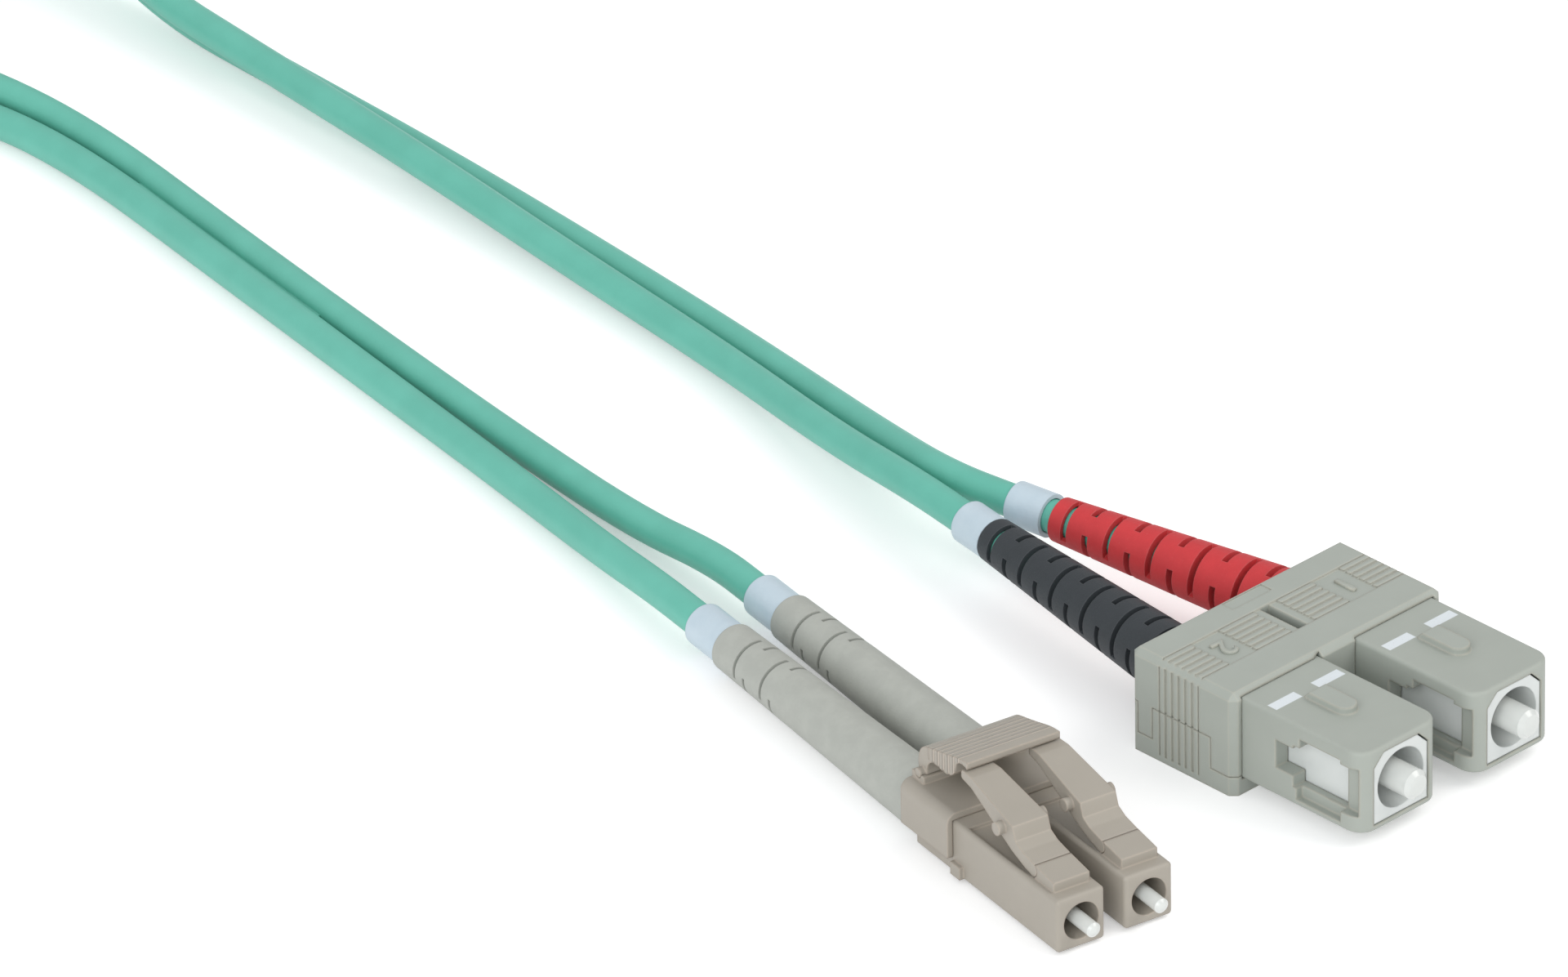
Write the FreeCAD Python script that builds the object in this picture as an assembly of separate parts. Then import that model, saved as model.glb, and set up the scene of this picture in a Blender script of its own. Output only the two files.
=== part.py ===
import FreeCAD, Part
import math
import os

# Duplex fibre patch cord: a duplex LC plug on one end, a duplex SC plug on the other, and two
# jacketed strands joined side by side, with the spare length wound in a tied coil.
# Millimetres. The SC clip stands on z = 0 with its middle over the origin. Both plugs are
# modelled with -Y as their mating direction; the LC plug is then turned and set in its place.

V = FreeCAD.Vector

os.makedirs("parts", exist_ok=True)

# Running gap of sliding pieces and the looser gap of pieces that only stand near each other
RUN = 0.05
GAP = 0.1
FLOOR_GAP = 0.02

# Ferrules: share of the diameter that their root in the flange has, its clearance there, and
# the web that is left in the flange behind it
FERRULE_ROOT_SHARE = 0.56
SEAT_CLEAR = 0.01
SEAT_WEB = 0.25

# Strand: jacketed cord, 0.9 mm buffered fibre inside, and the marker sleeve on each end
STRAND_D = 2.8
FIBRE_D = 0.9
FIBRE_BORE = 1.2
MARKER_WALL = 0.38
MARKER_CLEAR = 0.06
BOOT_CLEAR = 0.12
PAIR_STEP = 3.0

# SC duplex clip, two shells that snap together round the grip sleeves
SC_PITCH = 12.7
CLIP_L = 11.4
CLIP_FLOOR = 1.34
CLIP_TOP_WALL = 0.4
CLIP_SIDE_WALL = 0.94
CLIP_REAR_WALL = 0.7
CLIP_FIT = 0.06
CLIP_CHAMFER = 0.55
CLIP_HOLE_CLEAR = 0.5
CLIP_SPLIT_UNDER_AXIS = 0.5
CLIP_LEG_LOW = 1.75
CLIP_FRONT_LEG = 2.5
CLIP_HOOK_FROM_REAR = 0.9
CLIP_HOOK_L = 1.5
CLIP_JOIN_GAP = 0.08
CLIP_BAND_L = 4.4
CLIP_BAND_SHIFT = 0.3
CLIP_BAND_DEPTH = 0.15
CLIP_RIBS = 6
CLIP_RIB_SHARE = 0.66
CLIP_RIB_INNER_START = 1.3
CLIP_RIB_INNER_END = 5.2
CLIP_RIB_OUTER_START = 8.3
CLIP_SLOT_W = 1.0
CLIP_SLOT_DEPTH = 3.0
CLIP_MARK_L = 1.2
CLIP_MARK_W = 4.4
CLIP_MARK_DEPTH = 0.1
CLIP_NOTCH = 1.0

# SC grip sleeve. Places along it are measured back from its front face.
SC_NOSE_OUT = 12.95
SC_SLEEVE_W = 8.9
SC_SLEEVE_H = 7.3
SC_SLEEVE_EDGE_R = 0.3
SC_SLEEVE_CORNER_R = 1.6
SC_NOSE_SET_IN = 0.9
SC_NOSE_L = 4.25
SC_NOSE_RIM = 0.65
SC_NOSE_HALF_H = 2.15
SC_KEY_W = 1.9
SC_KEY_H = 0.6
SC_KEY_FRONT = 5.15
SC_KEY_L = 4.6
SC_KEY_RAMP = 0.6
SC_WINDOW_FRONT = 2.3
SC_WINDOW_STEP = 7.45
SC_WINDOW_REAR = 9.35
SC_WINDOW_BELOW = 2.1
SC_WINDOW_ABOVE = 2.5
SC_WINDOW_SILL_BELOW = 1.1
SC_WINDOW_LINTEL_ABOVE = 1.4
SC_TOOTH_L = 0.7
SC_TOOTH_H = 0.8
SC_LEDGE_SET_IN = 0.7
SC_LEDGE_BELOW = 3.1

# SC plug inside: white frame, ferrule with its flange, spring, rear stop and crimp ring
SC_FRAME_W = 5.9
SC_FRAME_H = 6.1
SC_FRAME_CHAMFER = 1.1
SC_FRAME_SUNK = 0.1
SC_MOUTH_D = 5.1
SC_MOUTH_DEPTH = 7.15
SC_SHOULDER_T = 0.8
SC_CAVITY_D = 4.8
SC_FERRULE_D = 2.5
SC_FERRULE_OUT = 1.95
SC_TIP_CHAMFER = 0.35
SC_HUB_D = 3.5
SC_FLANGE_D = 4.3
SC_FLANGE_T = 1.5
SC_TAIL_D = 2.4
SC_TAIL_L = 4.7
SC_SPRING_L = 5.4
SC_SPRING_WALL = 0.6
SC_STOP_COLLAR_D = 5.2
SC_STOP_COLLAR_T = 0.7
SC_POST_D = 3.0
SC_POST_L = 3.35
SC_RING_D = 4.1
SC_GRIP_TRAVEL = 1.6
SC_FERRULE_TRAVEL = 1.0

# SC boots: number 1 is red, number 2 black, each leaning in towards the other
SC_COLLAR_D = 5.1
SC_BOOT_D = 5.9
SC_BOOT_END_D = 3.75
SC_BOOT_1_L = 23.1
SC_BOOT_2_L = 24.6
SC_BOOT_TILT = {1: 7.5, 2: -8.7}
SC_MARKER_1_GAP = 1.0
SC_MARKER_2_GAP = 0.1
SC_MARKER_L = 3.5
SC_SLOT_W = 0.6
SC_SLOT_STEP = 2.2
SC_SLOT_FIRST = 1.6
SC_SLOT_SWEEP = 130.0
SC_SLOT_TURN = 45.0

# LC plug: housing, ferrule, spring and rear body. Places along it are measured back from its
# front face and heights from its axis.
LC_PITCH = 6.25
LC_AXIS_Z = 2.62
LC_BODY_W = 4.4
LC_BODY_H = 4.7
LC_BODY_L = 19.8
LC_BODY_EDGE_R = 0.35
LC_MOUTH_D = 3.2
LC_MOUTH_DEPTH = 5.6
LC_SHOULDER_T = 0.6
LC_CAVITY_D = 3.0
LC_FERRULE_D = 1.25
LC_FERRULE_OUT = 2.0
LC_TIP_CHAMFER = 0.2
LC_HUB_D = 2.1
LC_FLANGE_D = 2.8
LC_FLANGE_T = 1.15
LC_TAIL_D = 1.9
LC_TAIL_L = 3.8
LC_SPRING_L = 4.75
LC_SPRING_WALL = 0.4
LC_COLLAR_D = 4.2
LC_COLLAR_L = 1.35
LC_POST_D = 2.4
LC_POST_L = 3.6
LC_RING_D = 3.3
LC_TAB_FRONT = 13.2
LC_TAB_L = 1.3
LC_TAB_BELOW = 2.2
LC_TAB_H = 1.1
LC_TAB_OUT = 0.4
LC_FERRULE_TRAVEL = 0.8

# LC boots and marker sleeves
LC_BOOT_D = 5.2
LC_BOOT_END_D = 4.1
LC_BOOT_1_L = 28.5
LC_BOOT_2_L = 29.7
LC_MARKER_GAP = 0.1
LC_MARKER_L = 4.2
LC_SLOT_W = 0.35
LC_LONG_SLOT_1 = 3.3
LC_LONG_SLOT_2 = 7.2
LC_SHORT_SLOT_1 = 4.7
LC_SHORT_SLOT_2 = 8.6
LC_SLOT_TURN = 225.0
LC_LONG_SWEEP = 120.0
LC_SHORT_SWEEP = 42.0
LC_SHORT_TURN = 62.0

# LC latch: root block, hinge knuckle, arm with its step and side pegs. Heights are above the
# top of the housing.
LATCH_ROOT_FRONT = 1.3
LATCH_ROOT_H = 0.85
LATCH_ROOT_W = 3.3
LATCH_TAIL_W = 2.6
LATCH_KNUCKLE_Y = 4.3
LATCH_KNUCKLE_R = 0.6
LATCH_STEP_Y = 7.05
LATCH_STEP_LOW = 1.95
LATCH_STEP_H = 3.05
LATCH_TAIL_H = 4.3
LATCH_TAIL_T = 0.75
LATCH_PEG_Y = 8.5
LATCH_PEG_H = 2.35
LATCH_PEG_R = 0.55
LATCH_PEG_OUT = 0.6
LATCH_WELL_DEPTH = 0.3
LATCH_WELL_L = 8.7

# LC duplex clip, and the trigger that presses both latches. Heights of the trigger are above
# its hinge, and places along it are measured forward from its hinge.
LC_CLIP_L = 6.6
LC_CLIP_SIDE_WALL = 0.52
LC_CLIP_TOP_WALL = 0.6
LC_CLIP_LOW = 1.5
LC_CLIP_FIT = 0.05
LC_CLIP_EDGE_R = 0.9
TRIGGER_FROM_REAR = 0.8
TRIGGER_KNUCKLE_R = 0.55
TRIGGER_SUNK = 0.5
TRIGGER_HALF_W = 4.3
TRIGGER_PIN_R = 0.4
TRIGGER_PIN_OUT = 0.5
TRIGGER_REACH = 6.3
TRIGGER_LIP_T = 0.6
TRIGGER_LIP_L = 1.55
TRIGGER_CREST = 2.55
TRIGGER_BULGE = 1.5
LATCH_TO_LIP = 0.18
LATCH_TUCK = 0.65
CRADLE_H = 0.6

# Place of the middle of the LC plug's front on the floor, and its turn about the vertical
LC_PLACE = (-32.82, -13.64)
LC_TURN = -11.4

# Coil of the spare length: the joined strands stand one above the other in it
COIL_X = 0.0
COIL_Y = 203.0
COIL_R = 37.0
COIL_STEP = 5.0
COIL_LAYER = 6.4
COIL_START_DEG = 220.0
COIL_LAYER_TURNS = 10.0 / 9.0
COIL_CLIMB_TURNS = 0.5
TIE_WIDTH = 8.0
TIE_WALL = 0.5
TIE_CLEAR = 0.35
TIE_EDGE_R = 1.4

# Free stretches of each strand, as points of the floor and heights. Each stretch starts at the
# rear of its marker sleeve, runs straight for LEAD_OUT, passes these points and then runs
# straight for LEAD_IN into the coil.
ROUTES = {
    "strand_1_lc_run": [
        (-21.9, 55.4, 1.9), (-18.4, 72.0, 1.5), (-15.2, 90.5, 1.5), (-11.4, 112.0, 1.5),
        (-7.2, 136.0, 1.5), (-8.3, 149.8, 1.5), (-13.4, 161.6, 1.6),
    ],
    "strand_2_lc_run": [
        (-16.9, 56.5, 1.8), (-14.4, 74.0, 1.5), (-11.4, 93.5, 1.5), (-8.0, 114.0, 1.5),
        (-3.9, 137.0, 1.5), (-5.2, 150.5, 2.5), (-11.3, 162.9, 4.3),
    ],
    "strand_1_sc_run": [
        (4.8, 51.2, 3.3), (7.5, 62.0, 2.1), (9.8, 75.0, 1.5), (11.6, 92.0, 1.5),
        (13.4, 112.0, 1.5), (14.5, 133.0, 1.5), (15.2, 148.0, 1.6), (16.9, 160.3, 4.6),
    ],
    "strand_2_sc_run": [
        (1.7, 53.0, 3.5), (6.3, 71.0, 1.9), (8.6, 92.0, 2.2), (10.7, 113.0, 3.0),
        (12.3, 134.0, 3.6), (13.3, 149.0, 4.2), (16.0, 161.2, 7.9),
    ],
}
LEAD_OUT = 7.0
LEAD_IN = 11.0


def box(x0, x1, y0, y1, z0, z1):
    """Box between two corners."""
    return Part.makeBox(x1 - x0, y1 - y0, z1 - z0, V(x0, y0, z0))


def rod(x, z, diameter, y0, y1):
    """Cylinder along Y."""
    return Part.makeCylinder(diameter / 2, y1 - y0, V(x, y0, z), V(0, 1, 0))


def sleeve(x, z, outer, inner, y0, y1):
    """Tube along Y."""
    return rod(x, z, outer, y0, y1).cut(rod(x, z, inner, y0 - 1, y1 + 1))


def side_rod(y, z, radius, x0, x1):
    """Cylinder along X."""
    return Part.makeCylinder(radius, x1 - x0, V(x0, y, z), V(1, 0, 0))


def prism_x(outline, x0, x1):
    """Outline of (y, z) points drawn out along X."""
    points = [V(x0, y, z) for y, z in outline]
    face = Part.Face(Part.makePolygon(points + points[:1]))
    return face.extrude(V(x1 - x0, 0, 0))


def prism_y(outline, y0, y1):
    """Outline of (x, z) points drawn out along Y."""
    points = [V(x, y0, z) for x, z in outline]
    face = Part.Face(Part.makePolygon(points + points[:1]))
    return face.extrude(V(0, y1 - y0, 0))


def prism_z(outline, z0, z1):
    """Outline of (x, y) points drawn out along Z."""
    points = [V(x, y, z0) for x, y in outline]
    face = Part.Face(Part.makePolygon(points + points[:1]))
    return face.extrude(V(0, 0, z1 - z0))


def long_edges(shape):
    """Straight edges along Y that span the whole shape."""
    length = shape.BoundBox.YLength
    return [e for e in shape.Edges if abs(abs(e.Vertexes[0].Y - e.Vertexes[-1].Y) - length) < 1e-6]


def arc_slot(outer, y, width, middle_deg, sweep_deg):
    """Slice of a disc about the Y axis: cuts a slot in a boot's wall. Zero degrees is +X."""
    start = V(0, 0, 0)
    disc = Part.makeCylinder(outer, width, start, V(0, 0, 1), sweep_deg)
    disc.rotate(start, V(0, 0, 1), middle_deg - sweep_deg / 2)
    disc.rotate(start, V(1, 0, 0), -90)
    disc.translate(V(0, y - width / 2, 0))
    return disc


def ferrule(x, z, diameter, y_tip, y_hub, y_end, chamfer):
    """Ferrule: a rod with a domed tip, and a thinner root held inside the flange's hub."""
    radius = diameter / 2
    root = radius * FERRULE_ROOT_SHARE
    flat = radius - chamfer
    dome = V(0.55 * flat, y_tip + 0.03, 0)
    curve = Part.Arc(V(0, y_tip, 0), dome, V(flat, y_tip + 0.1, 0)).toShape()
    corners = [
        V(flat, y_tip + 0.1, 0), V(radius, y_tip + 0.1 + chamfer, 0), V(radius, y_hub, 0),
        V(root, y_hub, 0), V(root, y_end, 0), V(0, y_end, 0), V(0, y_tip, 0),
    ]
    outline = Part.Wire([curve] + Part.makePolygon(corners).Edges)
    solid = Part.Face(outline).revolve(V(0, 0, 0), V(0, 1, 0), 360)
    solid.translate(V(x, 0, z))
    return solid


def save(name, shape, place=None):
    """Move a piece to its place and write it as its own file."""
    piece = shape.copy()
    if place is not None:
        piece.transformShape(place.toMatrix())
    if not piece.isValid() or piece.Volume <= 0:
        raise ValueError(name + " is not a sound solid")
    piece.exportStep("parts/" + name + ".step")
    print(name, "solids", len(piece.Solids), "volume", round(piece.Volume, 3))


LC_PLACEMENT = FreeCAD.Placement(V(*LC_PLACE, 0), FreeCAD.Rotation(V(0, 0, 1), LC_TURN))

# SC plugs: number 1 is the far one with the red boot, number 2 the near one with the black boot
SC_X = {1: SC_PITCH / 2, 2: -SC_PITCH / 2}
SC_AXIS_Z = CLIP_FLOOR + CLIP_FIT + SC_SLEEVE_H / 2
CLIP_W = SC_PITCH + SC_SLEEVE_W + 2 * (CLIP_FIT + CLIP_SIDE_WALL)
CLIP_H = SC_AXIS_Z + SC_SLEEVE_H / 2 + CLIP_FIT + CLIP_TOP_WALL
SC_FRONT_Y = -CLIP_L / 2 - SC_NOSE_OUT
SC_SLEEVE_REAR = CLIP_L / 2 - CLIP_REAR_WALL - GAP
SC_BOOT_PIVOT_Y = CLIP_L / 2 - GAP
SC_POST_END = SC_BOOT_PIVOT_Y - 3 * GAP
SC_COLLAR_END = SC_POST_END - SC_POST_L
SC_FRAME_REAR = SC_COLLAR_END - SC_STOP_COLLAR_T - RUN
SC_TIP_Y = SC_FRONT_Y - SC_FERRULE_OUT
SC_SHOULDER_Y = SC_FRONT_Y + SC_MOUTH_DEPTH
SC_CAVITY_Y = SC_SHOULDER_Y + SC_SHOULDER_T
SC_FLANGE_Y = SC_CAVITY_Y + RUN
SC_HUB_Y = SC_SHOULDER_Y - GAP
SC_FLANGE_END = SC_FLANGE_Y + SC_FLANGE_T
SC_TAIL_END = SC_FLANGE_END + SC_TAIL_L
SC_STOP_Y = SC_FLANGE_END + 2 * RUN + SC_SPRING_L
SC_BOOT_L = {1: SC_BOOT_1_L, 2: SC_BOOT_2_L}
SC_MARKER_GAP = {1: SC_MARKER_1_GAP, 2: SC_MARKER_2_GAP}


def frame_outline(x, half_w, half_h, chamfer):
    """Section of the white frame: a rectangle with its two upper corners cut off."""
    z = SC_AXIS_Z
    return [
        (x - half_w, z - half_h), (x + half_w, z - half_h), (x + half_w, z + half_h - chamfer),
        (x + half_w - chamfer, z + half_h), (x - half_w + chamfer, z + half_h),
        (x - half_w, z + half_h - chamfer),
    ]


def sc_key(x, high):
    """Key on top of a sleeve: a bar with a round front end and a ramp at its rear."""
    half = SC_KEY_W / 2
    front = SC_FRONT_Y + SC_KEY_FRONT + half
    rear = SC_FRONT_Y + SC_KEY_FRONT + SC_KEY_L
    top = high + SC_KEY_H
    outline = [(front, high - RUN), (rear, high - RUN), (rear - SC_KEY_RAMP, top), (front, top)]
    bar = prism_x(outline, x - half, x + half)
    end = Part.makeCylinder(half, SC_KEY_H + RUN, V(x, front, high - RUN))
    return bar.fuse(end)


def sc_sleeve(x):
    """Outer grip sleeve: rounded nose corners, key on top, stepped window in each side."""
    z = SC_AXIS_Z
    half = SC_SLEEVE_W / 2
    low = z - SC_SLEEVE_H / 2
    high = z + SC_SLEEVE_H / 2
    front = SC_FRONT_Y
    body = box(x - half, x + half, front, SC_SLEEVE_REAR, low, high)
    corners = [e for e in body.Edges if e.BoundBox.ZLength > 1 and e.BoundBox.YMax < front + 1]
    body = body.makeFillet(SC_SLEEVE_CORNER_R, corners)
    rim = [e for e in body.Edges if e.BoundBox.ZLength < 1e-6 and e.BoundBox.YMin < SC_SLEEVE_REAR - 1]
    body = body.makeFillet(SC_SLEEVE_EDGE_R, rim)
    clear = RUN + GAP / 2
    hole = frame_outline(x, SC_FRAME_W / 2 + clear, SC_FRAME_H / 2 + clear, SC_FRAME_CHAMFER)
    cuts = [prism_y(hole, front - 1, SC_SLEEVE_REAR + 1)]
    step = front + SC_WINDOW_STEP
    reach = half + 1
    window = box(x - reach, x + reach, front + SC_WINDOW_FRONT, step, z - SC_WINDOW_BELOW,
                 z + SC_WINDOW_ABOVE)
    tooth = box(x - reach, x + reach, step - SC_TOOTH_L, step, z + SC_WINDOW_ABOVE - SC_TOOTH_H,
                z + SC_WINDOW_ABOVE)
    cuts.append(window.cut(tooth))
    cuts.append(box(x - reach, x + reach, step - RUN, front + SC_WINDOW_REAR,
                    z - SC_WINDOW_SILL_BELOW, z + SC_WINDOW_LINTEL_ABOVE))
    for side in (-1, 1):
        inner = x + side * (half - SC_NOSE_SET_IN)
        outer = x + side * reach
        cuts.append(box(min(inner, outer), max(inner, outer), front + SC_NOSE_RIM,
                        front + SC_NOSE_L, z - SC_NOSE_HALF_H, z + SC_NOSE_HALF_H))
        inner = x + side * (half - SC_LEDGE_SET_IN)
        cuts.append(box(min(inner, outer), max(inner, outer), front + SC_WINDOW_FRONT,
                        step - SC_TOOTH_L / 2, z - SC_LEDGE_BELOW, z - SC_WINDOW_SILL_BELOW))
    return body.cut(cuts).fuse(sc_key(x, high)).removeSplitter()


def sc_plug_frame(x):
    """White inner frame: round mouth, shoulder for the flange, cavity for spring and stop."""
    front = SC_FRONT_Y + SC_FRAME_SUNK
    outline = frame_outline(x, SC_FRAME_W / 2, SC_FRAME_H / 2, SC_FRAME_CHAMFER)
    body = prism_y(outline, front, SC_FRAME_REAR)
    body = body.cut(rod(x, SC_AXIS_Z, SC_MOUTH_D, front - 1, SC_SHOULDER_Y))
    body = body.cut(rod(x, SC_AXIS_Z, SC_HUB_D + 2 * GAP, front - 1, SC_FRAME_REAR))
    body = body.cut(rod(x, SC_AXIS_Z, SC_CAVITY_D, SC_CAVITY_Y, SC_FRAME_REAR + 1))
    return body


def flange(x, z, ferrule_d, hub_d, collar_d, tail_d, y_hub, y0, collar_end, tail_end, seat_end):
    """Metal holder of the ferrule: hub in the shoulder's hole, collar, tail inside the spring."""
    body = rod(x, z, hub_d, y_hub, collar_end).fuse(rod(x, z, collar_d, y0, collar_end))
    body = body.fuse(rod(x, z, tail_d, collar_end, tail_end))
    socket = ferrule_d * FERRULE_ROOT_SHARE + 2 * SEAT_CLEAR
    body = body.cut(rod(x, z, socket, y_hub - 1, seat_end))
    return body.cut(rod(x, z, FIBRE_BORE, seat_end + SEAT_WEB, tail_end + 1))


def sc_stop(x):
    """Rear stop: pressed in the frame behind the spring, ends in the crimp post."""
    z = SC_AXIS_Z
    plug_d = SC_CAVITY_D - 2 * RUN
    collar_y = SC_COLLAR_END - SC_STOP_COLLAR_T
    body = rod(x, z, plug_d, SC_STOP_Y, SC_COLLAR_END)
    body = body.fuse(rod(x, z, SC_STOP_COLLAR_D, collar_y, SC_COLLAR_END))
    body = body.fuse(rod(x, z, SC_POST_D, SC_COLLAR_END, SC_POST_END))
    tail_room = SC_TAIL_END + SC_FERRULE_TRAVEL + 2 * GAP
    body = body.cut(rod(x, z, SC_TAIL_D + 4 * GAP, SC_STOP_Y - 1, tail_room))
    return body.cut(rod(x, z, FIBRE_BORE, SC_STOP_Y - 1, SC_POST_END + 1)).removeSplitter()


def tilted(shape, x, number):
    """Turn a piece that was made along +Y from its pivot so that it follows its SC boot."""
    piece = shape.copy()
    pivot = V(x, SC_BOOT_PIVOT_Y, SC_AXIS_Z)
    piece.rotate(pivot, V(0, 0, 1), SC_BOOT_TILT[number])
    return piece


def sc_boot(x, number):
    """Tapered boot: crosswise slots in turn, a collar over the crimp ring inside the clip."""
    z = SC_AXIS_Z
    pivot = SC_BOOT_PIVOT_Y
    length = SC_BOOT_L[number]
    collar_y = SC_COLLAR_END + RUN
    start = V(x, pivot, z)
    cone = Part.makeCone(SC_BOOT_D / 2, SC_BOOT_END_D / 2, length, start, V(0, 1, 0))
    cuts = [rod(x, z, STRAND_D + 2 * BOOT_CLEAR, pivot - 1, pivot + length + 1)]
    place = SC_SLOT_FIRST
    turn = 0
    while place < length - SC_SLOT_W:
        for half in (0, 180):
            angle = SC_SLOT_TURN + turn * 90 + half
            slot = arc_slot(SC_BOOT_D, pivot + length - place, SC_SLOT_W, angle, SC_SLOT_SWEEP)
            slot.translate(V(x, 0, z))
            cuts.append(slot)
        place += SC_SLOT_STEP
        turn += 1
    cone = tilted(cone.cut(cuts), x, number)
    collar = rod(x, z, SC_COLLAR_D, collar_y, pivot + 0.5)
    bore = rod(x, z, STRAND_D + 2 * BOOT_CLEAR, pivot - 1.5, pivot + 2)
    body = cone.fuse(collar.cut(tilted(bore, x, number)))
    return body.cut(rod(x, z, SC_RING_D + 2 * RUN, collar_y - 1, SC_POST_END + RUN))


def sc_marker(x, number):
    """White marker sleeve on the strand behind the boot."""
    inner = STRAND_D + 2 * MARKER_CLEAR
    y0 = SC_BOOT_PIVOT_Y + SC_BOOT_L[number] + SC_MARKER_GAP[number]
    piece = sleeve(x, SC_AXIS_Z, inner + 2 * MARKER_WALL, inner, y0, y0 + SC_MARKER_L)
    return tilted(piece, x, number)


def sc_strand_end(x, number):
    """Straight end of the strand, from the crimp post through boot and marker sleeve."""
    end = SC_BOOT_PIVOT_Y + SC_BOOT_L[number] + SC_MARKER_GAP[number] + SC_MARKER_L
    piece = rod(x, SC_AXIS_Z, STRAND_D, SC_BOOT_PIVOT_Y, end)
    return tilted(piece, x, number)


def clip_shell():
    """Outside of the whole SC clip, with its pockets, rear holes, slot and front notch."""
    half = CLIP_W / 2
    front = -CLIP_L / 2
    rear = CLIP_L / 2
    body = box(-half, half, front, rear, 0, CLIP_H)
    upright = [e for e in body.Edges if e.BoundBox.ZLength > CLIP_H / 2]
    top = [e for e in body.Edges if e.BoundBox.ZMin > CLIP_H - 1e-6]
    body = body.makeChamfer(CLIP_CHAMFER, upright + top)
    pad = SC_SLEEVE_W / 2 + CLIP_FIT
    low = SC_AXIS_Z - SC_SLEEVE_H / 2 - CLIP_FIT
    high = SC_AXIS_Z + SC_SLEEVE_H / 2 + CLIP_FIT
    cuts = []
    for x in SC_X.values():
        cuts.append(box(x - pad, x + pad, front - 1, rear - CLIP_REAR_WALL, low, high))
        hole = SC_BOOT_D + 2 * CLIP_HOLE_CLEAR
        cuts.append(rod(x, SC_AXIS_Z, hole, rear - CLIP_REAR_WALL - 1, rear + 1))
    band_front = CLIP_BAND_SHIFT - CLIP_BAND_L / 2
    cuts.append(box(-CLIP_SLOT_W / 2, CLIP_SLOT_W / 2, band_front, band_front + CLIP_BAND_L,
                    CLIP_H - CLIP_SLOT_DEPTH, CLIP_H + 1))
    mark_rear = rear - CLIP_CHAMFER - GAP
    cuts.append(box(-CLIP_MARK_W / 2, CLIP_MARK_W / 2, mark_rear - CLIP_MARK_L, mark_rear,
                    CLIP_H - CLIP_MARK_DEPTH, CLIP_H + 1))
    edge = SC_PITCH / 2 - pad
    notch = [(-edge, high - RUN), (-edge - CLIP_NOTCH, high - RUN), (-edge, high + CLIP_NOTCH / 4)]
    cuts.append(prism_y(notch, front - 1, front + CLIP_NOTCH))
    return body.cut(cuts)


def clip_grip(shell, z0, z1, with_top):
    """Cut the grip band into a shell between two heights, and put its ribs back."""
    half = CLIP_W / 2
    depth = CLIP_BAND_DEPTH
    front = CLIP_BAND_SHIFT - CLIP_BAND_L / 2
    rear = front + CLIP_BAND_L
    step = CLIP_BAND_L / CLIP_RIBS
    rib = step * CLIP_RIB_SHARE
    cuts = []
    for side in (-1, 1):
        ends = sorted((side * (half - depth), side * (half + 1)))
        cuts.append(box(ends[0], ends[1], front, rear, z0, z1))
    if with_top:
        cuts.append(box(-half - 1, half + 1, front, rear, CLIP_H - depth, CLIP_H + 1))
    grooved = shell.cut(cuts)
    ribs = []
    for number in range(CLIP_RIBS):
        y0 = front + (number + 0.5) * step - rib / 2
        for side in (-1, 1):
            if with_top:
                for x0, x1 in ((CLIP_RIB_INNER_START, CLIP_RIB_INNER_END), (CLIP_RIB_OUTER_START, half)):
                    ends = sorted((side * x0, side * x1))
                    ribs.append(box(ends[0], ends[1], y0, y0 + rib, CLIP_H - 2 * depth, CLIP_H))
            ends = sorted((side * (half - 2 * depth), side * half))
            ribs.append(box(ends[0], ends[1], y0, y0 + rib, z0, z1))
    return grooved.fuse(shell.common(Part.makeCompound(ribs)))


def clip_legs(gap):
    """Legs of the upper shell that reach down over the lower one, at front and rear."""
    half = CLIP_W / 2
    front = -CLIP_L / 2
    hook_rear = CLIP_L / 2 - CLIP_HOOK_FROM_REAR
    wall_in = SC_PITCH / 2 + SC_SLEEVE_W / 2
    split = SC_AXIS_Z - CLIP_SPLIT_UNDER_AXIS
    legs = []
    for side in (-1, 1):
        ends = sorted((side * (wall_in - gap), side * (half + 1)))
        for y0, y1 in ((front - 1, front + CLIP_FRONT_LEG), (hook_rear - CLIP_HOOK_L, hook_rear)):
            legs.append(box(ends[0], ends[1], y0 - gap, y1 + gap, CLIP_LEG_LOW - gap, split + gap))
    return legs


def clip_halves():
    """Upper and lower shell of the SC clip."""
    shell = clip_shell()
    half = CLIP_W
    split = SC_AXIS_Z - CLIP_SPLIT_UNDER_AXIS
    upper_room = box(-half, half, -half, half, split, 2 * CLIP_H).fuse(clip_legs(0))
    lower_room = box(-half, half, -half, half, -1, split - CLIP_JOIN_GAP)
    upper = clip_grip(shell.common(upper_room), split, CLIP_H - CLIP_CHAMFER, True)
    lower = shell.common(lower_room).cut(clip_legs(CLIP_JOIN_GAP))
    lower = clip_grip(lower, CLIP_CHAMFER, split - CLIP_JOIN_GAP, False)
    return upper, lower


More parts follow.
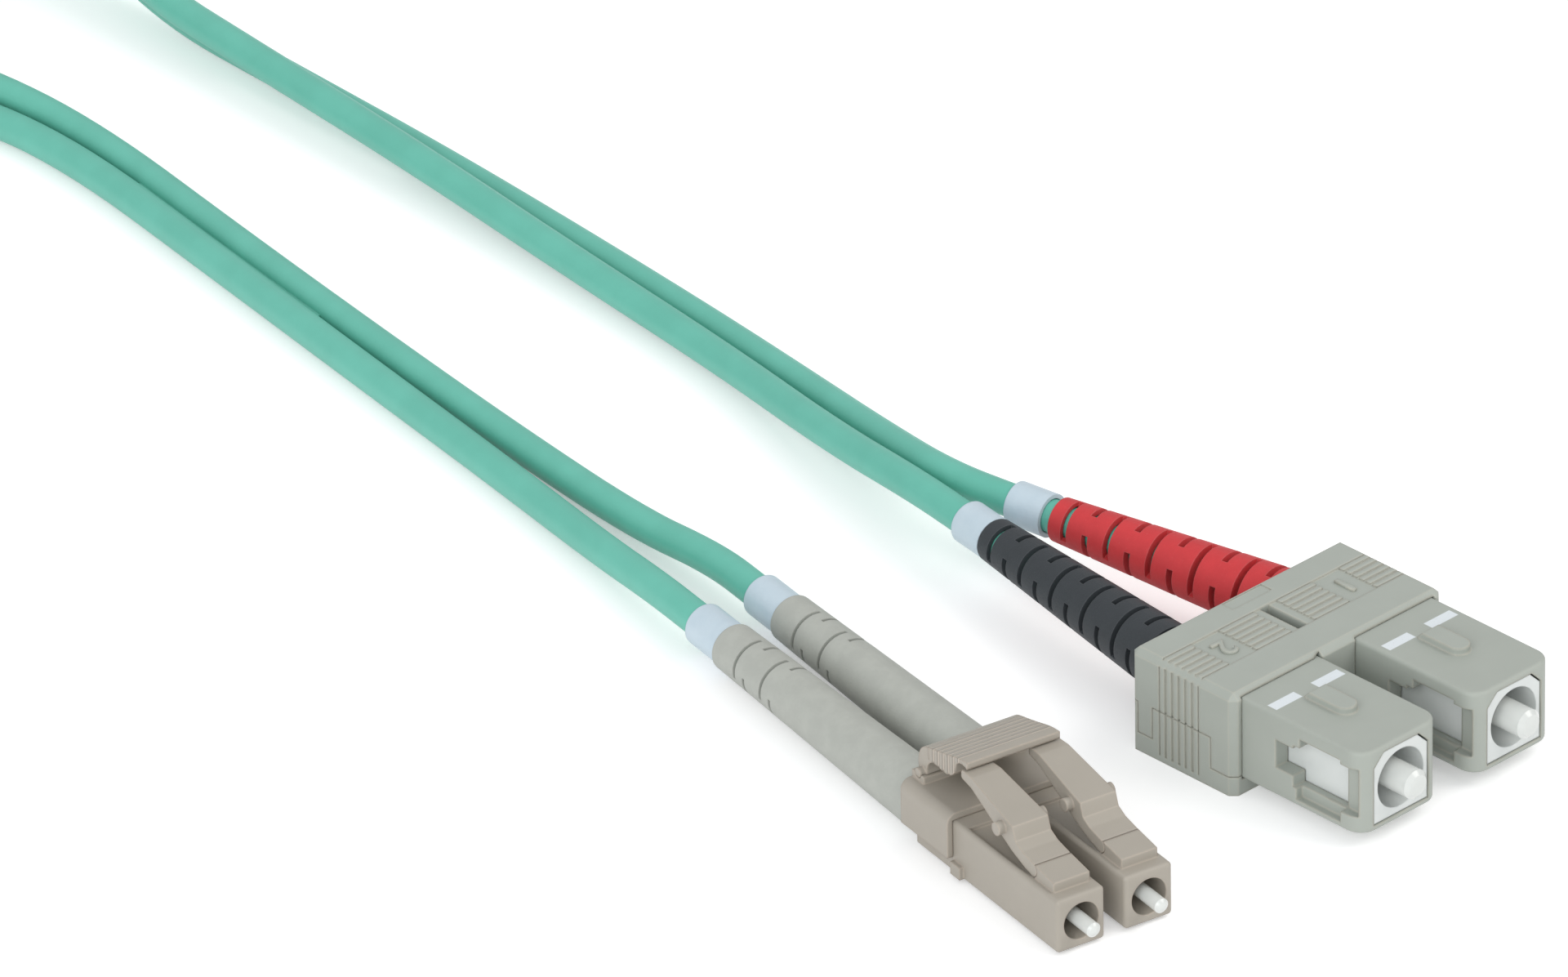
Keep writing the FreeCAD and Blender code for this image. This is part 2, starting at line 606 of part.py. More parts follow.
def make_sc():
    """Write every piece of the duplex SC plug."""
    upper, lower = clip_halves()
    save("sc_clip_top", upper)
    save("sc_clip_bottom", lower)
    z = SC_AXIS_Z
    for number, x in SC_X.items():
        stem = "sc_%d_" % number
        save(stem + "sleeve", sc_sleeve(x))
        save(stem + "plug_frame", sc_plug_frame(x))
        seat = SC_FLANGE_Y + SC_FLANGE_T / 2
        hub = SC_HUB_Y - SEAT_CLEAR
        save(stem + "ferrule", ferrule(x, z, SC_FERRULE_D, SC_TIP_Y, hub, seat - SEAT_CLEAR,
                                       SC_TIP_CHAMFER))
        save(stem + "flange", flange(x, z, SC_FERRULE_D, SC_HUB_D, SC_FLANGE_D, SC_TAIL_D, SC_HUB_Y,
                                     SC_FLANGE_Y, SC_FLANGE_END, SC_TAIL_END, seat))
        spring_in = SC_TAIL_D + 2 * GAP
        save(stem + "spring", sleeve(x, z, spring_in + 2 * SC_SPRING_WALL, spring_in,
                                     SC_FLANGE_END + RUN, SC_STOP_Y - RUN))
        save(stem + "stop", sc_stop(x))
        save(stem + "crimp_ring", sleeve(x, z, SC_RING_D, SC_POST_D + 2 * RUN,
                                         SC_COLLAR_END + GAP, SC_POST_END))
        save(stem + "fibre", rod(x, z, FIBRE_D, SC_FLANGE_END + SC_FERRULE_TRAVEL, SC_POST_END + GAP))
        save(stem + "boot", sc_boot(x, number))
        save(stem + "marker", sc_marker(x, number))
        save(stem + "strand_end", sc_strand_end(x, number))


# LC plugs: number 1 is the near one, number 2 the far one
LC_X = {1: -LC_PITCH / 2, 2: LC_PITCH / 2}
LC_LOW = LC_AXIS_Z - LC_BODY_H / 2
LC_HIGH = LC_AXIS_Z + LC_BODY_H / 2
LC_CAVITY_Y = LC_MOUTH_DEPTH + LC_SHOULDER_T
LC_FLANGE_Y = LC_CAVITY_Y + RUN
LC_HUB_Y = LC_MOUTH_DEPTH - GAP
LC_FLANGE_END = LC_FLANGE_Y + LC_FLANGE_T
LC_TAIL_END = LC_FLANGE_END + LC_TAIL_L
LC_STOP_Y = LC_FLANGE_END + 2 * RUN + LC_SPRING_L
LC_CLIP_REAR = LC_BODY_L + RUN + LC_COLLAR_L
LC_CLIP_FRONT = LC_CLIP_REAR - LC_CLIP_L
LC_CLIP_HALF_W = LC_PITCH / 2 + LC_BODY_W / 2 + LC_CLIP_FIT + LC_CLIP_SIDE_WALL
LC_CLIP_TOP = LC_HIGH + LC_CLIP_FIT + LC_CLIP_TOP_WALL
LC_POST_END = LC_CLIP_REAR + LC_POST_L
LC_BOOT_Y = LC_CLIP_REAR + GAP
LC_BOOT_END_Y = {1: LC_BOOT_Y + LC_BOOT_1_L, 2: LC_BOOT_Y + LC_BOOT_2_L}
LATCH_KNUCKLE_Z = LC_HIGH + LATCH_KNUCKLE_R + RUN
TRIGGER_Y = LC_CLIP_REAR - TRIGGER_FROM_REAR
CRADLE_TOP = LC_CLIP_TOP + CRADLE_H
TRIGGER_Z = CRADLE_TOP + TRIGGER_KNUCKLE_R - TRIGGER_SUNK
TRIGGER_LIP_Y = TRIGGER_Y - TRIGGER_REACH
LATCH_TAIL_Y = TRIGGER_LIP_Y + LATCH_TUCK
TRIGGER_LIP_LOW = LC_HIGH + LATCH_TAIL_H + LATCH_TO_LIP


def lc_housing(x, number):
    """Square body with its round mouth, the latch's root block and a well under the latch."""
    half = LC_BODY_W / 2
    body = box(x - half, x + half, 0, LC_BODY_L, LC_LOW, LC_HIGH)
    rim = [e for e in body.Edges if e.BoundBox.YMin < LC_BODY_L - 1]
    body = body.makeFillet(LC_BODY_EDGE_R, rim)
    knuckle = LATCH_KNUCKLE_Y
    root_rear = knuckle - 0.5 * LATCH_KNUCKLE_R
    slope = (LATCH_KNUCKLE_Z + LATCH_KNUCKLE_R - LC_HIGH - LATCH_ROOT_H) / (knuckle - LATCH_ROOT_FRONT)
    root = [
        (LATCH_ROOT_FRONT, LC_HIGH - RUN), (root_rear, LC_HIGH - RUN),
        (root_rear, LC_HIGH + LATCH_ROOT_H + slope * (root_rear - LATCH_ROOT_FRONT)),
        (LATCH_ROOT_FRONT, LC_HIGH + LATCH_ROOT_H),
    ]
    body = body.fuse(prism_x(root, x - LATCH_ROOT_W / 2, x + LATCH_ROOT_W / 2))
    side = -1 if number == 1 else 1
    ends = sorted((x + side * (half - RUN), x + side * (half + LC_TAB_OUT)))
    tab_low = LC_AXIS_Z - LC_TAB_BELOW
    body = body.fuse(box(ends[0], ends[1], LC_TAB_FRONT, LC_TAB_FRONT + LC_TAB_L, tab_low,
                         tab_low + LC_TAB_H))
    well_half = LATCH_ROOT_W / 2 + GAP
    well_end = knuckle + LATCH_WELL_L
    well = [
        (knuckle, LC_HIGH), (knuckle + LATCH_WELL_L / 3, LC_HIGH - LATCH_WELL_DEPTH),
        (well_end, LC_HIGH - LATCH_WELL_DEPTH), (well_end, LC_HIGH + 1), (knuckle, LC_HIGH + 1),
    ]
    cuts = [prism_x(well, x - well_half, x + well_half)]
    cuts.append(side_rod(knuckle, LATCH_KNUCKLE_Z, LATCH_KNUCKLE_R + RUN, x - well_half, x + well_half))
    z = LC_AXIS_Z
    cuts.append(rod(x, z, LC_MOUTH_D, -1, LC_MOUTH_DEPTH))
    cuts.append(rod(x, z, LC_HUB_D + 2 * GAP, -1, LC_BODY_L))
    cuts.append(rod(x, z, LC_CAVITY_D, LC_CAVITY_Y, LC_BODY_L + 1))
    return body.cut(cuts)


def lc_latch(x):
    """Latch arm: hinge knuckle at its root, step with its shoulder, side pegs, thin tail."""
    ky = LATCH_KNUCKLE_Y
    kz = LATCH_KNUCKLE_Z
    r = LATCH_KNUCKLE_R
    high = LC_HIGH
    tail = LATCH_TAIL_Y
    top = high + LATCH_TAIL_H
    step = LATCH_STEP_Y
    rise = step - ky
    outline = [
        (ky, kz + r), (ky + 0.5 * rise, high + 0.5 * (LATCH_ROOT_H + LATCH_STEP_LOW) + 0.1),
        (step - 0.15 * rise, high + LATCH_STEP_LOW), (step, high + LATCH_STEP_H),
        (tail - LATCH_TUCK - 0.9, top), (tail - 0.15, top), (tail, top - 0.25),
        (tail, top - LATCH_TAIL_T + 0.1), (tail - 0.15, top - LATCH_TAIL_T),
        (tail - LATCH_TUCK - 0.9, top - LATCH_TAIL_T - 0.2), (step + 0.1 * rise, high + 0.95),
        (ky + 0.4 * rise, high + 0.3), (ky, kz - r),
    ]
    half = LATCH_ROOT_W / 2
    arm = prism_x(outline, x - half, x + half)
    narrow = (LATCH_ROOT_W - LATCH_TAIL_W) / 2
    for side in (-1, 1):
        wedge = [
            (x + side * half, ky + rise), (x + side * (half - narrow), tail),
            (x + side * (half - narrow), tail + 1), (x + side * (half + 1), tail + 1),
            (x + side * (half + 1), ky + rise),
        ]
        arm = arm.cut(prism_z(wedge, 0, 2 * top))
    arm = arm.fuse(side_rod(ky, kz, r, x - half, x + half))
    reach = half + LATCH_PEG_OUT
    pegs = side_rod(LATCH_PEG_Y, high + LATCH_PEG_H, LATCH_PEG_R, x - reach, x + reach)
    return arm.fuse(pegs).removeSplitter()


def lc_stop(x):
    """Rear body: plug in the housing's cavity, collar inside the clip, crimp post."""
    z = LC_AXIS_Z
    collar_y = LC_BODY_L + RUN
    body = rod(x, z, LC_CAVITY_D - 2 * RUN, LC_STOP_Y, collar_y)
    body = body.fuse(rod(x, z, LC_COLLAR_D, collar_y, LC_CLIP_REAR))
    body = body.fuse(rod(x, z, LC_POST_D, LC_CLIP_REAR, LC_POST_END))
    tail_room = LC_TAIL_END + LC_FERRULE_TRAVEL + 2 * GAP
    body = body.cut(rod(x, z, LC_TAIL_D + 2 * GAP, LC_STOP_Y - 1, tail_room))
    return body.cut(rod(x, z, FIBRE_BORE, LC_STOP_Y - 1, LC_POST_END + 1))


def lc_boot(x, number):
    """Straight tapered boot with two groups of slots near its end."""
    z = LC_AXIS_Z
    end = LC_BOOT_END_Y[number]
    start = V(x, LC_BOOT_Y, z)
    body = Part.makeCone(LC_BOOT_D / 2, LC_BOOT_END_D / 2, end - LC_BOOT_Y, start, V(0, 1, 0))
    cuts = []
    for place in (LC_LONG_SLOT_1, LC_LONG_SLOT_2):
        cuts.append(arc_slot(LC_BOOT_D, end - place, LC_SLOT_W, LC_SLOT_TURN, LC_LONG_SWEEP))
    for place in (LC_SHORT_SLOT_1, LC_SHORT_SLOT_2):
        for turn in (-LC_SHORT_TURN, LC_SHORT_TURN):
            cuts.append(arc_slot(LC_BOOT_D, end - place, LC_SLOT_W, LC_SLOT_TURN + turn, LC_SHORT_SWEEP))
    for slot in cuts:
        slot.translate(V(x, 0, z))
    cuts.append(rod(x, z, LC_RING_D + 2 * RUN, LC_BOOT_Y - 1, LC_POST_END + RUN))
    cuts.append(rod(x, z, STRAND_D + 2 * BOOT_CLEAR, LC_BOOT_Y, end + 1))
    return body.cut(cuts)


def lc_clip():
    """Clip over both LC bodies, open below, with the cradle that carries the trigger."""
    half = LC_CLIP_HALF_W
    low = LC_LOW + LC_CLIP_LOW
    body = box(-half, half, LC_CLIP_FRONT, LC_CLIP_REAR, low, LC_CLIP_TOP)
    top = [e for e in long_edges(body) if e.Vertexes[0].Z > LC_CLIP_TOP - 1e-6]
    body = body.makeFillet(LC_CLIP_EDGE_R, top)
    groove = TRIGGER_KNUCKLE_R + RUN
    carried = TRIGGER_HALF_W + RUN
    cradle_half = TRIGGER_HALF_W + TRIGGER_PIN_OUT
    body = body.fuse(box(-cradle_half, cradle_half, TRIGGER_Y - groove - 3 * GAP, LC_CLIP_REAR,
                         LC_CLIP_TOP - RUN, CRADLE_TOP))
    pad = LC_BODY_W / 2 + LC_CLIP_FIT
    cuts = []
    for x in LC_X.values():
        cuts.append(box(x - pad, x + pad, LC_CLIP_FRONT - 1, LC_CLIP_REAR + 1, low - 1,
                        LC_HIGH + LC_CLIP_FIT))
    cuts.append(side_rod(TRIGGER_Y, TRIGGER_Z, groove, -carried, carried))
    cuts.append(side_rod(TRIGGER_Y, TRIGGER_Z, TRIGGER_PIN_R + RUN, -half, half))
    return body.cut(cuts)


def lc_trigger():
    """Curved trigger across both latches: knuckle with end pins, wavy underside, front lip."""
    y = TRIGGER_Y
    z = TRIGGER_Z
    r = TRIGGER_KNUCKLE_R
    lip = TRIGGER_LIP_Y
    low = TRIGGER_LIP_LOW
    lip_top = low + TRIGGER_LIP_T
    crest = z + TRIGGER_CREST
    bulge = z + TRIGGER_BULGE
    notch = lip + TRIGGER_LIP_L
    top = [
        V(0, y + r, z), V(0, y + 0.6, z + 0.45 * TRIGGER_CREST), V(0, y + 0.1, z + 0.82 * TRIGGER_CREST),
        V(0, y - 1.0, crest), V(0, y - 0.5 * TRIGGER_REACH, 0.55 * crest + 0.45 * lip_top),
        V(0, lip + 1.0, lip_top - 0.1), V(0, lip, lip_top),
    ]
    under = [
        V(0, lip, low), V(0, notch - 0.25, low - 0.02), V(0, notch, low - 0.25),
        V(0, notch + 0.15, 0.5 * (low + bulge)), V(0, notch + 0.75, bulge + 0.1),
        V(0, notch + 2.0, bulge - 0.12), V(0, y - 1.1, z + 0.85 * TRIGGER_BULGE),
        V(0, y - 0.65, z + 0.5 * TRIGGER_BULGE), V(0, y - r, z),
    ]
    edges = []
    for points in (top, under):
        curve = Part.BSplineCurve()
        curve.interpolate(points)
        edges.append(curve.toShape())
    edges.insert(1, Part.LineSegment(top[-1], under[0]).toShape())
    edges.append(Part.LineSegment(under[-1], top[0]).toShape())
    half = TRIGGER_HALF_W
    blade = Part.Face(Part.Wire(edges)).extrude(V(2 * half, 0, 0))
    blade.translate(V(-half, 0, 0))
    body = blade.fuse(side_rod(y, z, r, -half, half))
    reach = half + TRIGGER_PIN_OUT
    return body.fuse(side_rod(y, z, TRIGGER_PIN_R, -reach, reach))


def make_lc():
    """Write every piece of the duplex LC plug."""
    place = LC_PLACEMENT
    z = LC_AXIS_Z
    save("lc_clip", lc_clip(), place)
    save("lc_trigger", lc_trigger(), place)
    marker_in = STRAND_D + 2 * MARKER_CLEAR
    for number, x in LC_X.items():
        stem = "lc_%d_" % number
        save(stem + "housing", lc_housing(x, number), place)
        save(stem + "latch", lc_latch(x), place)
        seat = LC_FLANGE_Y + LC_FLANGE_T / 2
        hub = LC_HUB_Y - SEAT_CLEAR
        save(stem + "ferrule", ferrule(x, z, LC_FERRULE_D, -LC_FERRULE_OUT, hub, seat - SEAT_CLEAR,
                                       LC_TIP_CHAMFER), place)
        save(stem + "flange", flange(x, z, LC_FERRULE_D, LC_HUB_D, LC_FLANGE_D, LC_TAIL_D, LC_HUB_Y,
                                     LC_FLANGE_Y, LC_FLANGE_END, LC_TAIL_END, seat), place)
        spring_in = LC_TAIL_D + GAP
        save(stem + "spring", sleeve(x, z, spring_in + 2 * LC_SPRING_WALL, spring_in,
                                     LC_FLANGE_END + RUN, LC_STOP_Y - RUN), place)
        save(stem + "stop", lc_stop(x), place)
        save(stem + "crimp_ring", sleeve(x, z, LC_RING_D, LC_POST_D + 2 * RUN,
                                         LC_BOOT_Y + GAP, LC_POST_END), place)
        save(stem + "fibre", rod(x, z, FIBRE_D, LC_FLANGE_END + LC_FERRULE_TRAVEL,
                                 LC_POST_END + GAP), place)
        save(stem + "boot", lc_boot(x, number), place)
        marker_y = LC_BOOT_END_Y[number] + LC_MARKER_GAP
        marker_end = marker_y + LC_MARKER_L
        save(stem + "marker", sleeve(x, z, marker_in + 2 * MARKER_WALL, marker_in, marker_y,
                                     marker_end), place)
        save(stem + "strand_end", rod(x, z, STRAND_D, LC_POST_END + 2 * GAP, marker_end), place)


COIL_LOW_Z = FLOOR_GAP + TIE_WALL + TIE_CLEAR / 2 + STRAND_D / 2


def coil_point(turns, lift):
    """Place of a strand's centre in the coil after so many turns, and its direction there."""
    total = 2 * COIL_LAYER_TURNS + COIL_CLIMB_TURNS
    inward = min(turns, total - turns, COIL_LAYER_TURNS)
    radius = COIL_R - COIL_STEP * inward
    rate = 0.0
    if turns < COIL_LAYER_TURNS:
        rate = -COIL_STEP
    if turns > total - COIL_LAYER_TURNS:
        rate = COIL_STEP
    climb = min(max((turns - COIL_LAYER_TURNS) / COIL_CLIMB_TURNS, 0.0), 1.0)
    ease = climb * climb * (3 - 2 * climb)
    slope = 6 * climb * (1 - climb) * COIL_LAYER / COIL_CLIMB_TURNS
    angle = math.radians(COIL_START_DEG - 360 * turns)
    around = 2 * math.pi * radius
    place = V(COIL_X + radius * math.cos(angle), COIL_Y + radius * math.sin(angle),
              COIL_LOW_Z + lift + COIL_LAYER * ease)
    heading = V(around * math.sin(angle) + rate * math.cos(angle),
                -around * math.cos(angle) + rate * math.sin(angle), slope)
    heading.normalize()
    return place, heading


def half_arc(a, b, corner):
    """Arc from a to b whose two end tangents meet at corner."""
    middle = (a + b) * 0.5
    cosine = (a - middle).Length / (a - corner).Length
    crown = middle + (corner - middle) * (cosine / (1 + cosine))
    return Part.Arc(a, crown, b).toShape()


def biarc(a, heading_a, b, heading_b):
    """Two arcs that leave a and reach b in the given directions."""
    span = b - a
    both = heading_a + heading_b
    spread = 2 * (1 - heading_a.dot(heading_b))
    along = span.dot(both)
    reach = (-along + math.sqrt(along * along + spread * span.dot(span))) / spread
    corner_a = a + heading_a * reach
    corner_b = b - heading_b * reach
    joint = (corner_a + corner_b) * 0.5
    return [half_arc(a, joint, corner_a), half_arc(joint, b, corner_b)]


def coil_wire(lift):
    """Path of one strand in the coil: quarter turns as biarcs, a straight end at each side."""
    total = 2 * COIL_LAYER_TURNS + COIL_CLIMB_TURNS
    stops = [0.0]
    first = COIL_LAYER_TURNS % 0.25
    place = first if first > 1e-6 else 0.25
    while place < total - 1e-6:
        stops.append(place)
        place += 0.25
    stops.append(total)
    start, heading = coil_point(0.0, lift)
    edges = [Part.LineSegment(start - heading * STRAND_D, start).toShape()]
    for before, after in zip(stops, stops[1:]):
        a, heading_a = coil_point(before, lift)
        b, heading_b = coil_point(after, lift)
        edges.extend(biarc(a, heading_a, b, heading_b))
    end, heading = coil_point(total, lift)
    edges.append(Part.LineSegment(end, end + heading * STRAND_D).toShape())
    return Part.Wire(edges)


def least_self_gap(wire):
    """Least gap between stretches of one wound strand that are over a quarter turn apart."""
    count = 1200
    points = wire.discretize(Number=count)
    apart = int(count * 0.25 / (2 * COIL_LAYER_TURNS + COIL_CLIMB_TURNS))
    least = 1e9
    for i in range(0, count, 2):
        for j in range(i + apart, count, 2):
            least = min(least, points[i].distanceToPoint(points[j]))
    return least - STRAND_D


def strand_coil(number):
    """One strand of the coil as an unbroken tube."""
    lift = (number - 1) * PAIR_STEP
    wire = coil_wire(lift)
    start = wire.Vertexes[0].Point
    heading = coil_point(0.0, lift)[1]
    ring = Part.Wire(Part.Circle(start, heading, STRAND_D / 2).toShape())
    tube = wire.makePipeShell([ring], True, False)
    print("strand", number, "coil length", round(wire.Length, 1), "least gap to itself",
          round(least_self_gap(wire), 2))
    return tube, wire.Length


def run_edges(points, label):
    """Straight runs joined by tangent arcs, each as large as its two runs allow."""
    edges = []
    radii = []
    last = points[0]
    for before, corner, after in zip(points, points[1:], points[2:]):
        back = before - corner
        ahead = after - corner
        shorter = min(back.Length, ahead.Length)
        turn = math.pi - back.getAngle(ahead)
        reach = 0.45 * shorter
        radii.append(round(reach / math.tan(turn / 2), 1))
        a = corner + back.normalize() * reach
        b = corner + ahead.normalize() * reach
        edges.append(Part.LineSegment(last, a).toShape())
        edges.append(half_arc(a, b, corner))
        last = b
    edges.append(Part.LineSegment(last, points[-1]).toShape())
    print(label, "radii", radii)
    return edges


def lc_exit(number):
    """Rear of an LC marker sleeve's bore, and the direction out of it."""
    end = LC_BOOT_END_Y[number] + LC_MARKER_GAP + LC_MARKER_L
    place = LC_PLACEMENT.multVec(V(LC_X[number], end, LC_AXIS_Z))
    return place, LC_PLACEMENT.Rotation.multVec(V(0, 1, 0))


def sc_exit(number):
    """Rear of an SC marker sleeve's bore, and the direction out of it."""
    reach = SC_BOOT_L[number] + SC_MARKER_GAP[number] + SC_MARKER_L
    heading = FreeCAD.Rotation(V(0, 0, 1), SC_BOOT_TILT[number]).multVec(V(0, 1, 0))
    return V(SC_X[number], SC_BOOT_PIVOT_Y, SC_AXIS_Z) + heading * reach, heading


def strand_run(name, number, at_start):
    """Free stretch of a strand, from its marker sleeve to the coil's straight end."""
    lift = (number - 1) * PAIR_STEP
    start, away = lc_exit(number) if at_start else sc_exit(number)
    total = 2 * COIL_LAYER_TURNS + COIL_CLIMB_TURNS
    place, heading = coil_point(0.0 if at_start else total, lift)
    out = heading * -1 if at_start else heading
    meet = place + out * STRAND_D
    points = [start, start + away * LEAD_OUT] + [V(*p) for p in ROUTES[name]]
    points.append(place + out * LEAD_IN)
    points.append(meet)
    wire = Part.Wire(run_edges(points, name))
    heading = points[1] - points[0]
    ring = Part.Wire(Part.Circle(points[0], heading, STRAND_D / 2).toShape())
    tube = wire.makePipeShell([ring], True, False)
    section = math.pi * STRAND_D ** 2 / 4
    print(name, "length", round(wire.Length, 1), "volume over section times length",
          round(tube.Volume / (section * wire.Length), 4))
    return tube, wire.Length


def coil_tie():
    """Strap round the coil's bundle, at the side away from the plugs."""
    near = COIL_R - COIL_STEP * COIL_LAYER_TURNS - STRAND_D / 2 - TIE_CLEAR
    far = COIL_R - COIL_STEP / 3 + STRAND_D / 2 + TIE_CLEAR + GAP
    low = COIL_LOW_Z - STRAND_D / 2 - TIE_CLEAR / 2
    high = COIL_LOW_Z + PAIR_STEP + COIL_LAYER + STRAND_D / 2 + TIE_CLEAR
    wall = TIE_WALL
    width = TIE_WIDTH / 2
    outer = box(COIL_X - width, COIL_X + width, COIL_Y + near - wall, COIL_Y + far + wall,
                low - wall, high + wall)
    along = [e for e in outer.Edges if abs(e.Vertexes[0].X - e.Vertexes[-1].X) > width]
    outer = outer.makeFillet(TIE_EDGE_R, along)
    inner = box(COIL_X - 2 * width, COIL_X + 2 * width, COIL_Y + near, COIL_Y + far, low, high)
    along = [e for e in inner.Edges if abs(e.Vertexes[0].X - e.Vertexes[-1].X) > width]
    return outer.cut(inner.makeFillet(TIE_EDGE_R - TIE_WALL, along))


def make_cords():
    """Write the free stretches, the coil and its tie."""
    for number in (1, 2):
        stem = "strand_%d_" % number
        total = 0.0
        for end, at_start in (("lc", True), ("sc", False)):
            name = stem + end + "_run"
            tube, length = strand_run(name, number, at_start)
            total += length
            save(name, tube)
        tube, length = strand_coil(number)
        total += length
        save(stem + "coil", tube)
        print("strand", number, "between its marker sleeves", round(total, 1))
    save("coil_tie", coil_tie())


make_sc()
make_lc()
make_cords()
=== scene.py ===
"""Looks of the duplex fibre patch cord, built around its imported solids."""

import math

import bpy
import numpy as np
from mathutils import Matrix, Vector


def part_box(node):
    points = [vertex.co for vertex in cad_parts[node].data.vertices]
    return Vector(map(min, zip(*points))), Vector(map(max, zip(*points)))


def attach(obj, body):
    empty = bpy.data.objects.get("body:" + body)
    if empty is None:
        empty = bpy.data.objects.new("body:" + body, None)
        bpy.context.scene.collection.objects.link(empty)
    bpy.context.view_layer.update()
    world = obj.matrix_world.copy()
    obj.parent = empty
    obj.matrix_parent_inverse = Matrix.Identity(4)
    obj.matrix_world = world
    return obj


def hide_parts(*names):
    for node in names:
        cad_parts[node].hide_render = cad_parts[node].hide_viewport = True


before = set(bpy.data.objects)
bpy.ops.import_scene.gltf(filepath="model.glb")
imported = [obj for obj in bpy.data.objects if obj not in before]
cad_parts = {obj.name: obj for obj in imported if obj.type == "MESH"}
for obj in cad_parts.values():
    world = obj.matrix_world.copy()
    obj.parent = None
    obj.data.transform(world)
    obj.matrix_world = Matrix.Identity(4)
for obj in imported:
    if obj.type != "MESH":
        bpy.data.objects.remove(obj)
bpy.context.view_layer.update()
MM = 0.001

# Camera: where it looks from, and the photograph's size and framing in pixels
PHOTO_W = 1920
PHOTO_H = 1196
CAMERA_DROP = 0.541024
CAMERA_TURN = -0.798413
CAMERA_FAR = 1202.34 * MM
CAMERA_AIM = Vector((0, -5.72, 0)) * MM
CAMERA_FOCAL_PX = 18724.13
CAMERA_SHIFT_PX = (-679.883, 311.653)
SENSOR_W = 36.0

# Strands of the cord
STRAND_D = 2.8
PAIR_STEP = 3.0

# SC plugs and their boots: number 1 is the far one with the red boot
SC_X = {1: 6.35, 2: -6.35}
SC_AXIS_Z = 5.05
SC_BOOT_PIVOT_Y = 5.6
SC_BOOT_TILT = {1: 7.5, 2: -8.7}
SC_REACH = {1: 27.6, 2: 28.2}

# LC plugs: number 1 is the near one. Their frame is turned and set in its place.
LC_X = {1: -3.125, 2: 3.125}
LC_AXIS_Z = 2.62
LC_PLACE = (-32.82, -13.64)
LC_TURN = math.radians(-11.4)
LC_START = 25.0
LC_REACH = {1: 54.1, 2: 55.3}

# Coil of the spare length
COIL_X = 0.0
COIL_Y = 203.0
COIL_R = 37.0
COIL_STEP = 5.0
COIL_LOW_Z = 2.095
COIL_LAYER = 6.4
COIL_START_DEG = 220.0
COIL_LAYER_TURNS = 10.0 / 9.0
COIL_CLIMB_TURNS = 0.5
COIL_POINTS_PER_TURN = 16
LEAD_OUT = 7.0
LEAD_IN = 11.0

# Free stretches of each strand, in millimetres
ROUTES = {
    "strand_1_lc_run": [
        (-21.9, 55.4, 1.9), (-18.4, 72.0, 1.5), (-15.2, 90.5, 1.5), (-11.4, 112.0, 1.5),
        (-7.2, 136.0, 1.5), (-8.3, 149.8, 1.5), (-13.4, 161.6, 1.6),
    ],
    "strand_2_lc_run": [
        (-16.9, 56.5, 1.8), (-14.4, 74.0, 1.5), (-11.4, 93.5, 1.5), (-8.0, 114.0, 1.5),
        (-3.9, 137.0, 1.5), (-5.2, 150.5, 2.5), (-11.3, 162.9, 4.3),
    ],
    "strand_1_sc_run": [
        (4.8, 51.2, 3.3), (7.5, 62.0, 2.1), (9.8, 75.0, 1.5), (11.6, 92.0, 1.5),
        (13.4, 112.0, 1.5), (14.5, 133.0, 1.5), (15.2, 148.0, 1.6), (16.9, 160.3, 4.6),
    ],
    "strand_2_sc_run": [
        (1.7, 53.0, 3.5), (6.3, 71.0, 1.9), (8.6, 92.0, 2.2), (10.7, 113.0, 3.0),
        (12.3, 134.0, 3.6), (13.3, 149.0, 4.2), (16.0, 161.2, 7.9),
    ],
}

# Web between the strands: how far apart their centres may be, and its thickness
WEB_REACH = 3.25
WEB_THICK = 0.7
WEB_START_SHARE = 0.3
WEB_LEAST_ROWS = 3

# Digits on the SC clip: their height, place, thickness and rounding, and how far they sink
DIGIT_H = 3.0
DIGIT_X = 6.75
DIGIT_Y = 0.3
DIGIT_OUT = 0.2
DIGIT_ROUND = 0.05
DIGIT_SUNK = 0.05

# Printed bars on the SC sleeves and ridges across the LC trigger, each in its plug's own frame
SC_BAR_NEAR = 0.95
SC_BAR_FAR = 3.85
SC_BAR_FRONT = -8.85
SC_BAR_REAR = -7.85
SC_BAR_LOW_Z = (8.5, 8.6)
SC_BAR_SOFT = 0.05
RIDGE_FRONT = 14.9
RIDGE_REAR = 19.6
RIDGE_STEP = 0.72
RIDGE_OUT = 0.12
RIDGE_SOFT = 0.2
RIDGE_LOW_Z = (7.6, 7.9)

# Turned rings on the metal pieces, and loops of the strap
RING_STEP = 0.18
LOOP_STEP = 0.5

# Light: strengths and places in metres, and half the floor's width
SKY_STRENGTH = 0.68
FLOOR_LIFT = 0.32
FLOOR_REACH = 6.0


def srgb(red, green, blue):
    """Linear colour of a 0 to 255 sRGB colour, by the standard's two-part curve."""
    linear = []
    for value in (red, green, blue):
        share = value / 255
        linear.append(share / 12.92 if share <= 0.04045 else ((share + 0.055) / 1.055) ** 2.4)
    return (linear[0], linear[1], linear[2], 1.0)


def darker(color, share):
    """The same colour with only so much of its light."""
    return (color[0] * share, color[1] * share, color[2] * share, 1.0)


SC_PLASTIC = srgb(169, 174, 166)
# Painted highlight colour for the rounded edges of the SC plastic
SC_EDGE_HIGHLIGHT = srgb(203, 198, 182)
LC_PLASTIC = srgb(169, 162, 151)
# Painted highlight colour for the rounded edges of the LC plastic
LC_EDGE_HIGHLIGHT = srgb(205, 190, 174)


